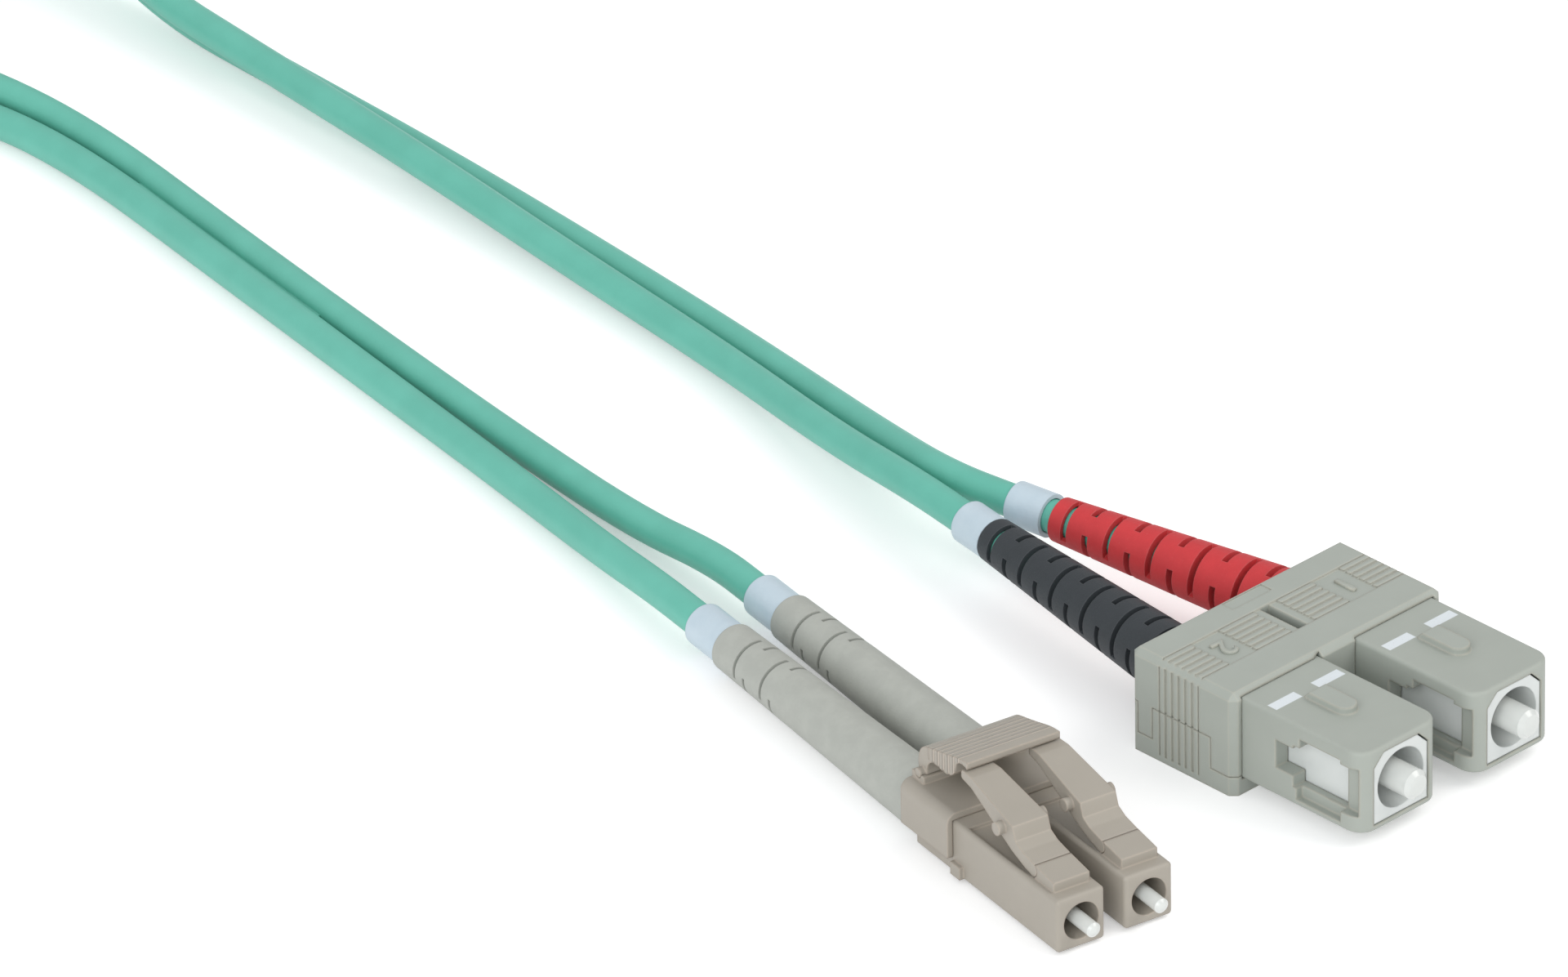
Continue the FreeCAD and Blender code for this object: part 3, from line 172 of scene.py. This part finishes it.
def set_camera():
    """Camera that was fitted to the photograph: down by CAMERA_DROP, turned by CAMERA_TURN."""
    right = Vector((math.cos(CAMERA_TURN), math.sin(CAMERA_TURN), 0))
    level = Vector((-math.sin(CAMERA_TURN), math.cos(CAMERA_TURN), 0))
    ahead = level * math.cos(CAMERA_DROP) - Vector((0, 0, math.sin(CAMERA_DROP)))
    up = right.cross(ahead)
    data = bpy.data.cameras.new("camera")
    data.sensor_width = SENSOR_W
    data.lens = CAMERA_FOCAL_PX * SENSOR_W / PHOTO_W
    data.shift_x = CAMERA_SHIFT_PX[0] / PHOTO_W
    data.shift_y = CAMERA_SHIFT_PX[1] / PHOTO_W
    data.clip_start = 0.01
    data.clip_end = 20
    camera = bpy.data.objects.new("camera", data)
    turn = Matrix((right, up, -ahead)).transposed().to_4x4()
    camera.matrix_world = Matrix.Translation(CAMERA_AIM - ahead * CAMERA_FAR) @ turn
    bpy.context.scene.collection.objects.link(camera)
    bpy.context.scene.camera = camera


def lc_point(x, y, z):
    """Place in the part's frame of a point of the LC plug's own frame, in millimetres."""
    c = math.cos(LC_TURN)
    s = math.sin(LC_TURN)
    return (LC_PLACE[0] + c * x - s * y, LC_PLACE[1] + s * x + c * y, z)


def sc_point(number, reach):
    """Point on an SC boot's leaning axis, so far from where the boot leaves the clip."""
    tilt = math.radians(SC_BOOT_TILT[number])
    return (SC_X[number] - math.sin(tilt) * reach, SC_BOOT_PIVOT_Y + math.cos(tilt) * reach, SC_AXIS_Z)


def coil_point(turns, lift):
    """Strand's centre after so many turns: the radius shrinks, waits, and grows back as it climbs.

    The control points lie outside the turn by one over the cosine of half their step, so that
    the curve through their middles has the coil's radius.
    """
    total = 2 * COIL_LAYER_TURNS + COIL_CLIMB_TURNS
    inward = min(turns, total - turns, COIL_LAYER_TURNS)
    outside = 1 / math.cos(math.pi / COIL_POINTS_PER_TURN)
    radius = (COIL_R - COIL_STEP * inward) * outside
    climb = min(max((turns - COIL_LAYER_TURNS) / COIL_CLIMB_TURNS, 0.0), 1.0)
    ease = climb * climb * (3 - 2 * climb)
    angle = math.radians(COIL_START_DEG - 360 * turns)
    return (COIL_X + radius * math.cos(angle), COIL_Y + radius * math.sin(angle),
            COIL_LOW_Z + lift + COIL_LAYER * ease)


def coil_lead(turns, lift, away):
    """Point on the straight lead of the coil, at a distance before its start or past its end."""
    angle = math.radians(COIL_START_DEG - 360 * turns)
    x, y, z = coil_point(turns, lift)
    inside = math.cos(math.pi / COIL_POINTS_PER_TURN)
    x = COIL_X + (x - COIL_X) * inside
    y = COIL_Y + (y - COIL_Y) * inside
    return (x + math.sin(angle) * away, y - math.cos(angle) * away, z)


def strand_route(number):
    """Route of one strand, from inside its LC boot through the coil to inside its SC boot."""
    lift = (number - 1) * PAIR_STEP
    x = LC_X[number]
    reaches = (LC_START, LC_REACH[number], LC_REACH[number] + LEAD_OUT)
    route = [lc_point(x, y, LC_AXIS_Z) for y in reaches]
    route += ROUTES["strand_%d_lc_run" % number]
    route.append(coil_lead(0, lift, -LEAD_IN))
    total = 2 * COIL_LAYER_TURNS + COIL_CLIMB_TURNS
    count = round(total * COIL_POINTS_PER_TURN)
    for step in range(count + 1):
        route.append(coil_point(total * step / count, lift))
    route.append(coil_lead(total, lift, LEAD_IN))
    route += reversed(ROUTES["strand_%d_sc_run" % number])
    for reach in (SC_REACH[number] + LEAD_OUT, SC_REACH[number], 0):
        route.append(sc_point(number, reach))
    return route


def make_strand(number, look):
    """One jacketed strand as a smooth NURBS curve with a round section."""
    data = bpy.data.curves.new("strand_%d" % number, "CURVE")
    data.dimensions = "3D"
    spline = data.splines.new("NURBS")
    route = strand_route(number)
    spline.points.add(len(route) - 1)
    for point, place in zip(spline.points, route):
        point.co = (place[0] * MM, place[1] * MM, place[2] * MM, 1.0)
    spline.order_u = 3
    spline.use_endpoint_u = True
    spline.resolution_u = 8
    data.use_fill_caps = True
    strand = bpy.data.objects.new("strand_%d" % number, data)
    bpy.context.scene.collection.objects.link(strand)
    line = line_of(strand)
    data.bevel_depth = STRAND_D / 2 * MM
    data.bevel_resolution = 7
    data.materials.append(look)
    length = float(np.linalg.norm(np.diff(line, axis=0), axis=1).sum())
    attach(strand, "base")
    nodes = ["strand_%d_%s" % (number, part) for part in ("lc_run", "coil", "sc_run")]
    nodes += ["lc_%d_strand_end" % number, "sc_%d_strand_end" % number]
    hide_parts(*nodes)
    return strand, line, length


def line_of(strand):
    """Points of a curve's own line, before it has a section."""
    bpy.context.view_layer.update()
    evaluated = strand.evaluated_get(bpy.context.evaluated_depsgraph_get())
    mesh = bpy.data.meshes.new_from_object(evaluated)
    points = np.empty(len(mesh.vertices) * 3)
    mesh.vertices.foreach_get("co", points)
    bpy.data.meshes.remove(mesh)
    return points.reshape(-1, 3)


def join_web(strands, look):
    """Thin web that joins the two strands wherever they lie side by side.

    Each point of strand 1's line is paired with the nearest point of strand 2's line. Where the
    two are less than WEB_REACH apart, the web is a flat bar between them: its four corners stand
    WEB_THICK / 2 above and below the straight line between the centres, square to the strand.
    """
    first = strands[0][1][::2]
    second = strands[1][1]
    apart = np.linalg.norm(first[:, None, :] - second[None, :, :], axis=2)
    partner = second[apart.argmin(axis=1)]
    near = apart.min(axis=1) < WEB_REACH * MM
    along = np.gradient(first, axis=0)
    lift = np.cross(along, partner - first)
    lift *= WEB_THICK / 2 * MM / np.linalg.norm(lift, axis=1)[:, None]
    low = first + (partner - first) * WEB_START_SHARE
    high = first + (partner - first) * (1 - WEB_START_SHARE)
    ring = np.stack([low + lift, high + lift, high - lift, low - lift], axis=1)
    edges = np.flatnonzero(np.diff(np.concatenate([[0], near.astype(int), [0]])))
    faces = []
    for start, end in zip(edges[::2], edges[1::2]):
        if end - start < WEB_LEAST_ROWS:
            continue
        rows = np.arange(start, end - 1) * 4
        for side in range(4):
            after = (side + 1) % 4
            corners = [rows + side, rows + after, rows + 4 + after, rows + 4 + side]
            faces.append(np.stack(corners, axis=1))
        faces.append(np.array([[start * 4 + 3, start * 4 + 2, start * 4 + 1, start * 4]]))
        last = (end - 1) * 4
        faces.append(np.array([[last, last + 1, last + 2, last + 3]]))
    web = mesh_piece("strand_web", ring.reshape(-1, 3), np.concatenate(faces), look)
    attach(web, "base")
    return web


def mesh_piece(name, points, faces, look):
    """Mesh object from points in metres and faces, without the points that no face uses."""
    used = np.unique(faces)
    place = np.full(len(points), -1)
    place[used] = np.arange(len(used))
    mesh = bpy.data.meshes.new(name)
    mesh.from_pydata(points[used].tolist(), [], place[faces].tolist())
    mesh.validate()
    mesh.materials.append(look)
    piece = bpy.data.objects.new(name, mesh)
    bpy.context.scene.collection.objects.link(piece)
    return piece


def clip_digit(number, look):
    """Raised digit between two groups of ribs on the SC clip, read from the rear."""
    data = bpy.data.curves.new("digit_%d" % number, "FONT")
    data.body = str(number)
    data.size = DIGIT_H * MM
    data.align_x = "CENTER"
    data.align_y = "CENTER"
    data.extrude = DIGIT_OUT / 2 * MM
    data.bevel_depth = DIGIT_ROUND * MM
    data.bevel_resolution = 2
    flat = bpy.data.objects.new("flat_digit", data)
    bpy.context.scene.collection.objects.link(flat)
    bpy.context.view_layer.update()
    evaluated = flat.evaluated_get(bpy.context.evaluated_depsgraph_get())
    mesh = bpy.data.meshes.new_from_object(evaluated)
    bpy.data.objects.remove(flat)
    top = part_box("sc_clip_top")[1].z
    side = 1 if number == 1 else -1
    place = Vector((side * DIGIT_X * MM, DIGIT_Y * MM, top - DIGIT_SUNK * MM))
    mesh.transform(Matrix.Translation(place) @ Matrix.Rotation(math.pi, 4, "Z"))
    mesh.materials.clear()
    mesh.materials.append(look)
    piece = bpy.data.objects.new("clip_digit_%d" % number, mesh)
    bpy.context.scene.collection.objects.link(piece)
    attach(piece, "sc_grip")


class Wire:
    """A socket in a material. Arithmetic on it adds Math nodes."""

    def __init__(self, paint, socket):
        self.paint = paint
        self.socket = socket

    def math(self, operation, *values):
        return self.paint.node("ShaderNodeMath", {"operation": operation}, dict(enumerate(values)))

    def __add__(self, other):
        return self.math("ADD", self, other)

    def __sub__(self, other):
        return self.math("SUBTRACT", self, other)

    def __rsub__(self, other):
        return self.math("SUBTRACT", other, self)

    def __mul__(self, other):
        return self.math("MULTIPLY", self, other)

    __radd__ = __add__

    def size(self):
        return self.math("ABSOLUTE", self)

    def waves(self, step_mm):
        """Sine of a length, which repeats after each step."""
        return self.math("SINE", self * (2 * math.pi / (step_mm * MM)))

    def ramp(self, low, high):
        """0 below low, 1 above high, smooth between them."""
        settings = {"interpolation_type": "SMOOTHSTEP"}
        return self.paint.node("ShaderNodeMapRange", settings, {0: self, 1: low, 2: high})

    def inside(self, low, high, soft):
        """1 between low and high, fading over soft at each side."""
        return self.ramp(low - soft, low + soft) * (1 - self.ramp(high - soft, high + soft))


class Paint:
    """A material in the making, with its shader's fixed values set straight on the shader."""

    def __init__(self, name, roughness=0.5, metallic=0.0, specular=0.5, coat=0.0):
        self.material = bpy.data.materials.new(name)
        self.material.use_nodes = True
        self.tree = self.material.node_tree
        self.shader = next(n for n in self.tree.nodes if n.type == "BSDF_PRINCIPLED")
        self.shader.inputs["Roughness"].default_value = roughness
        self.shader.inputs["Metallic"].default_value = metallic
        self.shader.inputs["Specular IOR Level"].default_value = specular
        self.shader.inputs["Coat Weight"].default_value = coat

    def node(self, kind, settings, values, output=0):
        """Node of one kind: settings first, then the values or links of its sockets."""
        made = self.tree.nodes.new(kind)
        for key, value in settings.items():
            setattr(made, key, value)
        for key, value in values.items():
            if isinstance(value, Wire):
                self.tree.links.new(value.socket, made.inputs[key])
            else:
                made.inputs[key].default_value = value
        return Wire(self, made.outputs[output])

    def place(self):
        """Object coordinates, in metres, the same for every piece of the part."""
        return self.node("ShaderNodeTexCoord", {}, {}, "Object")

    def axes(self, vector):
        split = self.tree.nodes.new("ShaderNodeSeparateXYZ")
        self.tree.links.new(vector.socket, split.inputs[0])
        return [Wire(self, split.outputs[i]) for i in range(3)]

    def noise(self, per_mm, detail=2.0, rough=0.5):
        """Noise from 0 to 1 with so many cells in a millimetre."""
        values = {"Vector": self.place(), "Scale": per_mm / MM, "Detail": detail, "Roughness": rough}
        return self.node("ShaderNodeTexNoise", {}, values)

    def mix(self, share, first, second):
        """Colour between two colours."""
        return self.node("ShaderNodeMix", {"data_type": "RGBA"}, {0: share, 6: first, 7: second}, 2)

    def rounded(self, radius_mm):
        """Normal that rounds each edge of the piece to a radius."""
        return self.node("ShaderNodeBevel", {"samples": 6}, {"Radius": radius_mm * MM})

    def edges(self, radius_mm):
        """0 on the flats and up to 1 along the edges, from how far the rounded normal turns."""
        flat = self.node("ShaderNodeNewGeometry", {}, {}, "True Normal")
        same = self.node("ShaderNodeVectorMath", {"operation": "DOT_PRODUCT"},
                         {0: self.rounded(radius_mm), 1: flat}, 1)
        return (1 - same).ramp(0.004, 0.12)

    def bump(self, height, depth_mm, normal=None):
        values = {"Height": height, "Distance": depth_mm * MM, "Strength": 1.0}
        if normal is not None:
            values["Normal"] = normal
        return self.node("ShaderNodeBump", {}, values)

    def feed(self, **sockets):
        """Link wires to the shader, or set its values: color, roughness, normal."""
        names = {"color": "Base Color", "roughness": "Roughness", "normal": "Normal"}
        for key, value in sockets.items():
            target = self.shader.inputs[names[key]]
            if isinstance(value, Wire):
                self.tree.links.new(value.socket, target)
            else:
                target.default_value = value
        return self.material


def moulded_plastic(paint, color, edge_highlight, edge_mm, roughness):
    """Fine-grained moulded plastic whose rounded edges carry a painted highlight, a little lighter and
    warmer.
    """
    cloud = paint.noise(0.35, 3.0)
    base = paint.mix((cloud - 0.3) * 1.2, darker(color, 0.93), color)
    # Painted highlight: the rounded edges are mixed toward a lighter, warmer colour
    base = paint.mix(paint.edges(edge_mm) * 0.5, base, edge_highlight)
    grain = paint.noise(9.0, 2.0)
    worn = paint.noise(1.7, 4.0, 0.7)
    normal = paint.bump(grain, 0.006, paint.rounded(edge_mm))
    rough = worn * 0.18 + (roughness - 0.08)
    return base, rough, normal


def sc_shell():
    """Grey green plastic of the SC clip and sleeves, with two printed white bars on each sleeve."""
    paint = Paint("sc_shell", 0.46, specular=0.4)
    base, rough, normal = moulded_plastic(paint, SC_PLASTIC, SC_EDGE_HIGHLIGHT, 0.34, 0.46)
    x, y, z = paint.axes(paint.place())
    across = (x.size() - SC_X[1] * MM).size()
    bars = across.inside(SC_BAR_NEAR * MM, SC_BAR_FAR * MM, SC_BAR_SOFT * MM)
    bars = bars * y.inside(SC_BAR_FRONT * MM, SC_BAR_REAR * MM, SC_BAR_SOFT * MM)
    bars = bars * z.ramp(SC_BAR_LOW_Z[0] * MM, SC_BAR_LOW_Z[1] * MM)
    ink = paint.noise(6.0, 3.0, 0.7).ramp(0.25, 0.45)
    base = paint.mix(bars * (ink * 0.25 + 0.7), base, srgb(222, 228, 232))
    return paint.feed(color=base, roughness=rough, normal=normal)


def lc_shell(name, ridged):
    """Warm grey plastic of the LC bodies; the trigger has fine ridges across its top, their crests
    lightened as a painted highlight.
    """
    paint = Paint(name, 0.44, specular=0.4)
    base, rough, normal = moulded_plastic(paint, LC_PLASTIC, LC_EDGE_HIGHLIGHT, 0.26, 0.44)
    if ridged:
        x, y, z = paint.axes(paint.place())
        along = (x - LC_PLACE[0] * MM) * -math.sin(LC_TURN)
        along = along + (y - LC_PLACE[1] * MM) * math.cos(LC_TURN)
        zone = along.inside(RIDGE_FRONT * MM, RIDGE_REAR * MM, RIDGE_SOFT * MM)
        zone = zone * z.ramp(RIDGE_LOW_Z[0] * MM, RIDGE_LOW_Z[1] * MM)
        ridges = along.waves(RIDGE_STEP).ramp(-0.2, 0.8) * zone
        normal = paint.bump(ridges, RIDGE_OUT, normal)
        # Painted highlight on the ridge crests
        base = paint.mix(ridges * 0.35, base, LC_EDGE_HIGHLIGHT)
    return paint.feed(color=base, roughness=rough, normal=normal)


def boot_rubber(name, color, dust_and_highlight_color, dust_and_highlight_share):
    """Matt rubber with a fine pitted skin, a little pale dust in specks, and a painted highlight along
    its edges.
    """
    paint = Paint(name, 0.6, specular=0.35)
    cloud = paint.noise(0.6, 4.0, 0.65)
    base = paint.mix(cloud.ramp(0.35, 0.7), darker(color, 0.93), color)
    specks = paint.noise(4.0, 3.0, 0.8).ramp(0.62, 0.78)
    # Pale specks of dust, plus a painted highlight along the rounded edges
    base = paint.mix((specks * 0.35 + paint.edges(0.12) * 0.5) * dust_and_highlight_share, base, dust_and_highlight_color)
    pits = paint.noise(7.0, 3.0, 0.6)
    normal = paint.bump(pits, 0.02, paint.rounded(0.12))
    return paint.feed(color=base, roughness=0.5 + pits * 0.2, normal=normal)


def jacket():
    """Extruded cable jacket: satin, with faint long waves and fine specks."""
    paint = Paint("cable_jacket", 0.42, specular=0.45)
    cloud = paint.noise(0.22, 3.0, 0.55)
    base = paint.mix(cloud.ramp(0.3, 0.7), srgb(99, 180, 162), srgb(104, 186, 168))
    grain = paint.noise(3.0, 3.0, 0.6)
    normal = paint.bump(grain, 0.015)
    return paint.feed(color=base, roughness=0.36 + cloud * 0.16, normal=normal)


def ceramic():
    """Polished white ceramic, slightly cooler in its depth."""
    paint = Paint("ceramic", 0.14, specular=0.6, coat=0.3)
    cloud = paint.noise(0.9, 2.0)
    base = paint.mix(cloud, srgb(208, 211, 208), srgb(219, 221, 217))
    return paint.feed(color=base, normal=paint.rounded(0.06))


def white_plastic():
    """White moulded plastic of the inner frames."""
    paint = Paint("white_plastic", 0.35, specular=0.45)
    cloud = paint.noise(0.5, 3.0)
    base = paint.mix(cloud, srgb(208, 212, 210), srgb(220, 223, 221))
    grain = paint.noise(8.0, 2.0)
    normal = paint.bump(grain, 0.004, paint.rounded(0.15))
    return paint.feed(color=base, normal=normal)


def marker_sleeve():
    """Thin pale sleeve, slightly uneven, as heat-shrunk tube is."""
    paint = Paint("marker_white", 0.38, specular=0.45)
    cloud = paint.noise(0.8, 3.0)
    base = paint.mix(cloud, srgb(184, 201, 212), srgb(198, 212, 221))
    waves = paint.noise(2.0, 2.0)
    normal = paint.bump(waves, 0.03, paint.rounded(0.12))
    return paint.feed(color=base, normal=normal)


def turned_metal(name, color, roughness):
    """Turned metal with fine rings across its axis, which lies nearly along Y."""
    paint = Paint(name, roughness, metallic=1.0)
    x, y, z = paint.axes(paint.place())
    rings = y.waves(RING_STEP)
    cloud = paint.noise(1.2, 3.0)
    base = paint.mix(cloud, darker(color, 0.85), color)
    normal = paint.bump(rings, 0.004)
    return paint.feed(color=base, roughness=cloud * 0.15 + (roughness - 0.05), normal=normal)


def buffer_coat():
    """Smooth pale coat of the fibre."""
    paint = Paint("fibre_buffer", 0.4)
    cloud = paint.noise(0.7, 2.0)
    return paint.feed(color=paint.mix(cloud, srgb(214, 214, 208), srgb(230, 230, 224)))


def tie_cloth():
    """Black hook and loop strap: short crossing loops over a dark ground."""
    paint = Paint("tie_black", 0.85, specular=0.2)
    x, y, z = paint.axes(paint.place())
    weave = x.waves(LOOP_STEP) * y.waves(LOOP_STEP)
    fuzz = paint.noise(5.0, 4.0, 0.7)
    base = paint.mix(fuzz, srgb(26, 26, 28), srgb(58, 58, 62))
    return paint.feed(color=base, normal=paint.bump(weave + fuzz, 0.12))


def studio():
    """Pale floor that keeps the shadow, white surroundings, two large soft lamps."""
    world = bpy.data.worlds.new("studio")
    bpy.context.scene.world = world
    tree, output, seen = seen_tree(world, "ShaderNodeOutputWorld", "Is Transmission Ray")
    dim = tree.nodes.new("ShaderNodeBackground")
    dim.inputs["Color"].default_value = (0.97, 0.985, 1.0, 1.0)
    dim.inputs["Strength"].default_value = SKY_STRENGTH
    white = tree.nodes.new("ShaderNodeBackground")
    white.inputs["Color"].default_value = (1.0, 1.0, 1.0, 1.0)
    mix = tree.nodes.new("ShaderNodeMixShader")
    tree.links.new(seen, mix.inputs[0])
    tree.links.new(dim.outputs[0], mix.inputs[1])
    tree.links.new(white.outputs[0], mix.inputs[2])
    tree.links.new(mix.outputs[0], output.inputs[0])
    corners = np.array([(-1, -1, 0), (1, -1, 0), (1, 1, 0), (-1, 1, 0)]) * FLOOR_REACH
    mesh_piece("floor", corners, np.array([[0, 1, 2, 3]]), floor_look())
    lamp("key", (1.1, -1.3, 1.9), 1.5, 20.0, (1.0, 0.975, 0.94))
    lamp("fill", (-1.7, -0.8, 0.9), 1.6, 22.0, (0.97, 0.99, 1.0))


def floor_look():
    """Diffuse white floor; towards the camera a little light is added so that it stays white."""
    material = bpy.data.materials.new("floor")
    tree, output, seen = seen_tree(material, "ShaderNodeOutputMaterial", "Is Glossy Ray")
    lift = tree.nodes.new("ShaderNodeMath")
    lift.operation = "MULTIPLY"
    lift.inputs[1].default_value = FLOOR_LIFT
    tree.links.new(seen, lift.inputs[0])
    diffuse = tree.nodes.new("ShaderNodeBsdfDiffuse")
    diffuse.inputs["Color"].default_value = (0.9, 0.9, 0.9, 1.0)
    glow = tree.nodes.new("ShaderNodeEmission")
    tree.links.new(lift.outputs[0], glow.inputs["Strength"])
    both = tree.nodes.new("ShaderNodeAddShader")
    tree.links.new(diffuse.outputs[0], both.inputs[0])
    tree.links.new(glow.outputs[0], both.inputs[1])
    tree.links.new(both.outputs[0], output.inputs[0])
    return material


def seen_tree(owner, kind, other_ray):
    """Fresh node tree, its output node, and a socket that is 1 for camera rays and one other kind."""
    owner.use_nodes = True
    tree = owner.node_tree
    tree.nodes.clear()
    output = tree.nodes.new(kind)
    path = tree.nodes.new("ShaderNodeLightPath")
    seen = tree.nodes.new("ShaderNodeMath")
    seen.operation = "MAXIMUM"
    tree.links.new(path.outputs["Is Camera Ray"], seen.inputs[0])
    tree.links.new(path.outputs[other_ray], seen.inputs[1])
    return tree, output, seen.outputs[0]


def lamp(name, place, size, watts, color):
    """Square soft lamp that faces the origin."""
    data = bpy.data.lights.new(name, "AREA")
    data.shape = "SQUARE"
    data.size = size
    data.energy = watts
    data.color = color
    light = bpy.data.objects.new(name, data)
    light.location = place
    light.rotation_euler = (-Vector(place)).to_track_quat("-Z", "Y").to_euler()
    bpy.context.scene.collection.objects.link(light)


def dress(looks):
    """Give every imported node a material: by its whole name, else by its part's name."""
    for name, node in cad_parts.items():
        part = name.split("_", 2)[-1]
        look = looks.get(name) or looks.get(part) or looks["strand_end"]
        node.data.materials.clear()
        node.data.materials.append(look)


set_camera()
cable = jacket()
strands = [make_strand(number, cable) for number in (1, 2)]
sc_plastic = sc_shell()
lc_plastic = lc_shell("lc_shell", False)
lc_rubber = boot_rubber("boot_grey", srgb(176, 178, 171), srgb(196, 196, 188), 0.4)
dress({
    "sc_clip_top": sc_plastic,
    "sc_clip_bottom": sc_plastic,
    "sleeve": sc_plastic,
    "lc_clip": lc_plastic,
    "housing": lc_plastic,
    "latch": lc_plastic,
    "lc_trigger": lc_shell("lc_trigger", True),
    "sc_1_boot": boot_rubber("boot_red", srgb(206, 60, 64), srgb(225, 150, 148), 0.5),
    "sc_2_boot": boot_rubber("boot_black", srgb(56, 60, 64), srgb(120, 124, 128), 0.5),
    "lc_1_boot": lc_rubber,
    "lc_2_boot": lc_rubber,
    "plug_frame": white_plastic(),
    "ferrule": ceramic(),
    "flange": turned_metal("flange_metal", srgb(214, 210, 204), 0.32),
    "spring": turned_metal("spring_steel", srgb(200, 200, 200), 0.3),
    "stop": turned_metal("stop_metal", srgb(205, 202, 196), 0.35),
    "crimp_ring": turned_metal("crimp_metal", srgb(208, 206, 200), 0.3),
    "fibre": buffer_coat(),
    "marker": marker_sleeve(),
    "coil_tie": tie_cloth(),
    "strand_end": cable,
})
studio()
web = join_web(strands, cable)
for number, (strand, line, length) in zip((1, 2), strands):
    clip_digit(number, sc_plastic)
    start = lc_point(LC_X[number], LC_START, LC_AXIS_Z)
    [value * MM for value in start]
    ["lc_%d_marker" % number, "sc_%d_marker" % number] + [web] * (number == 1)
bpy.context.scene.view_settings.view_transform = "Standard"
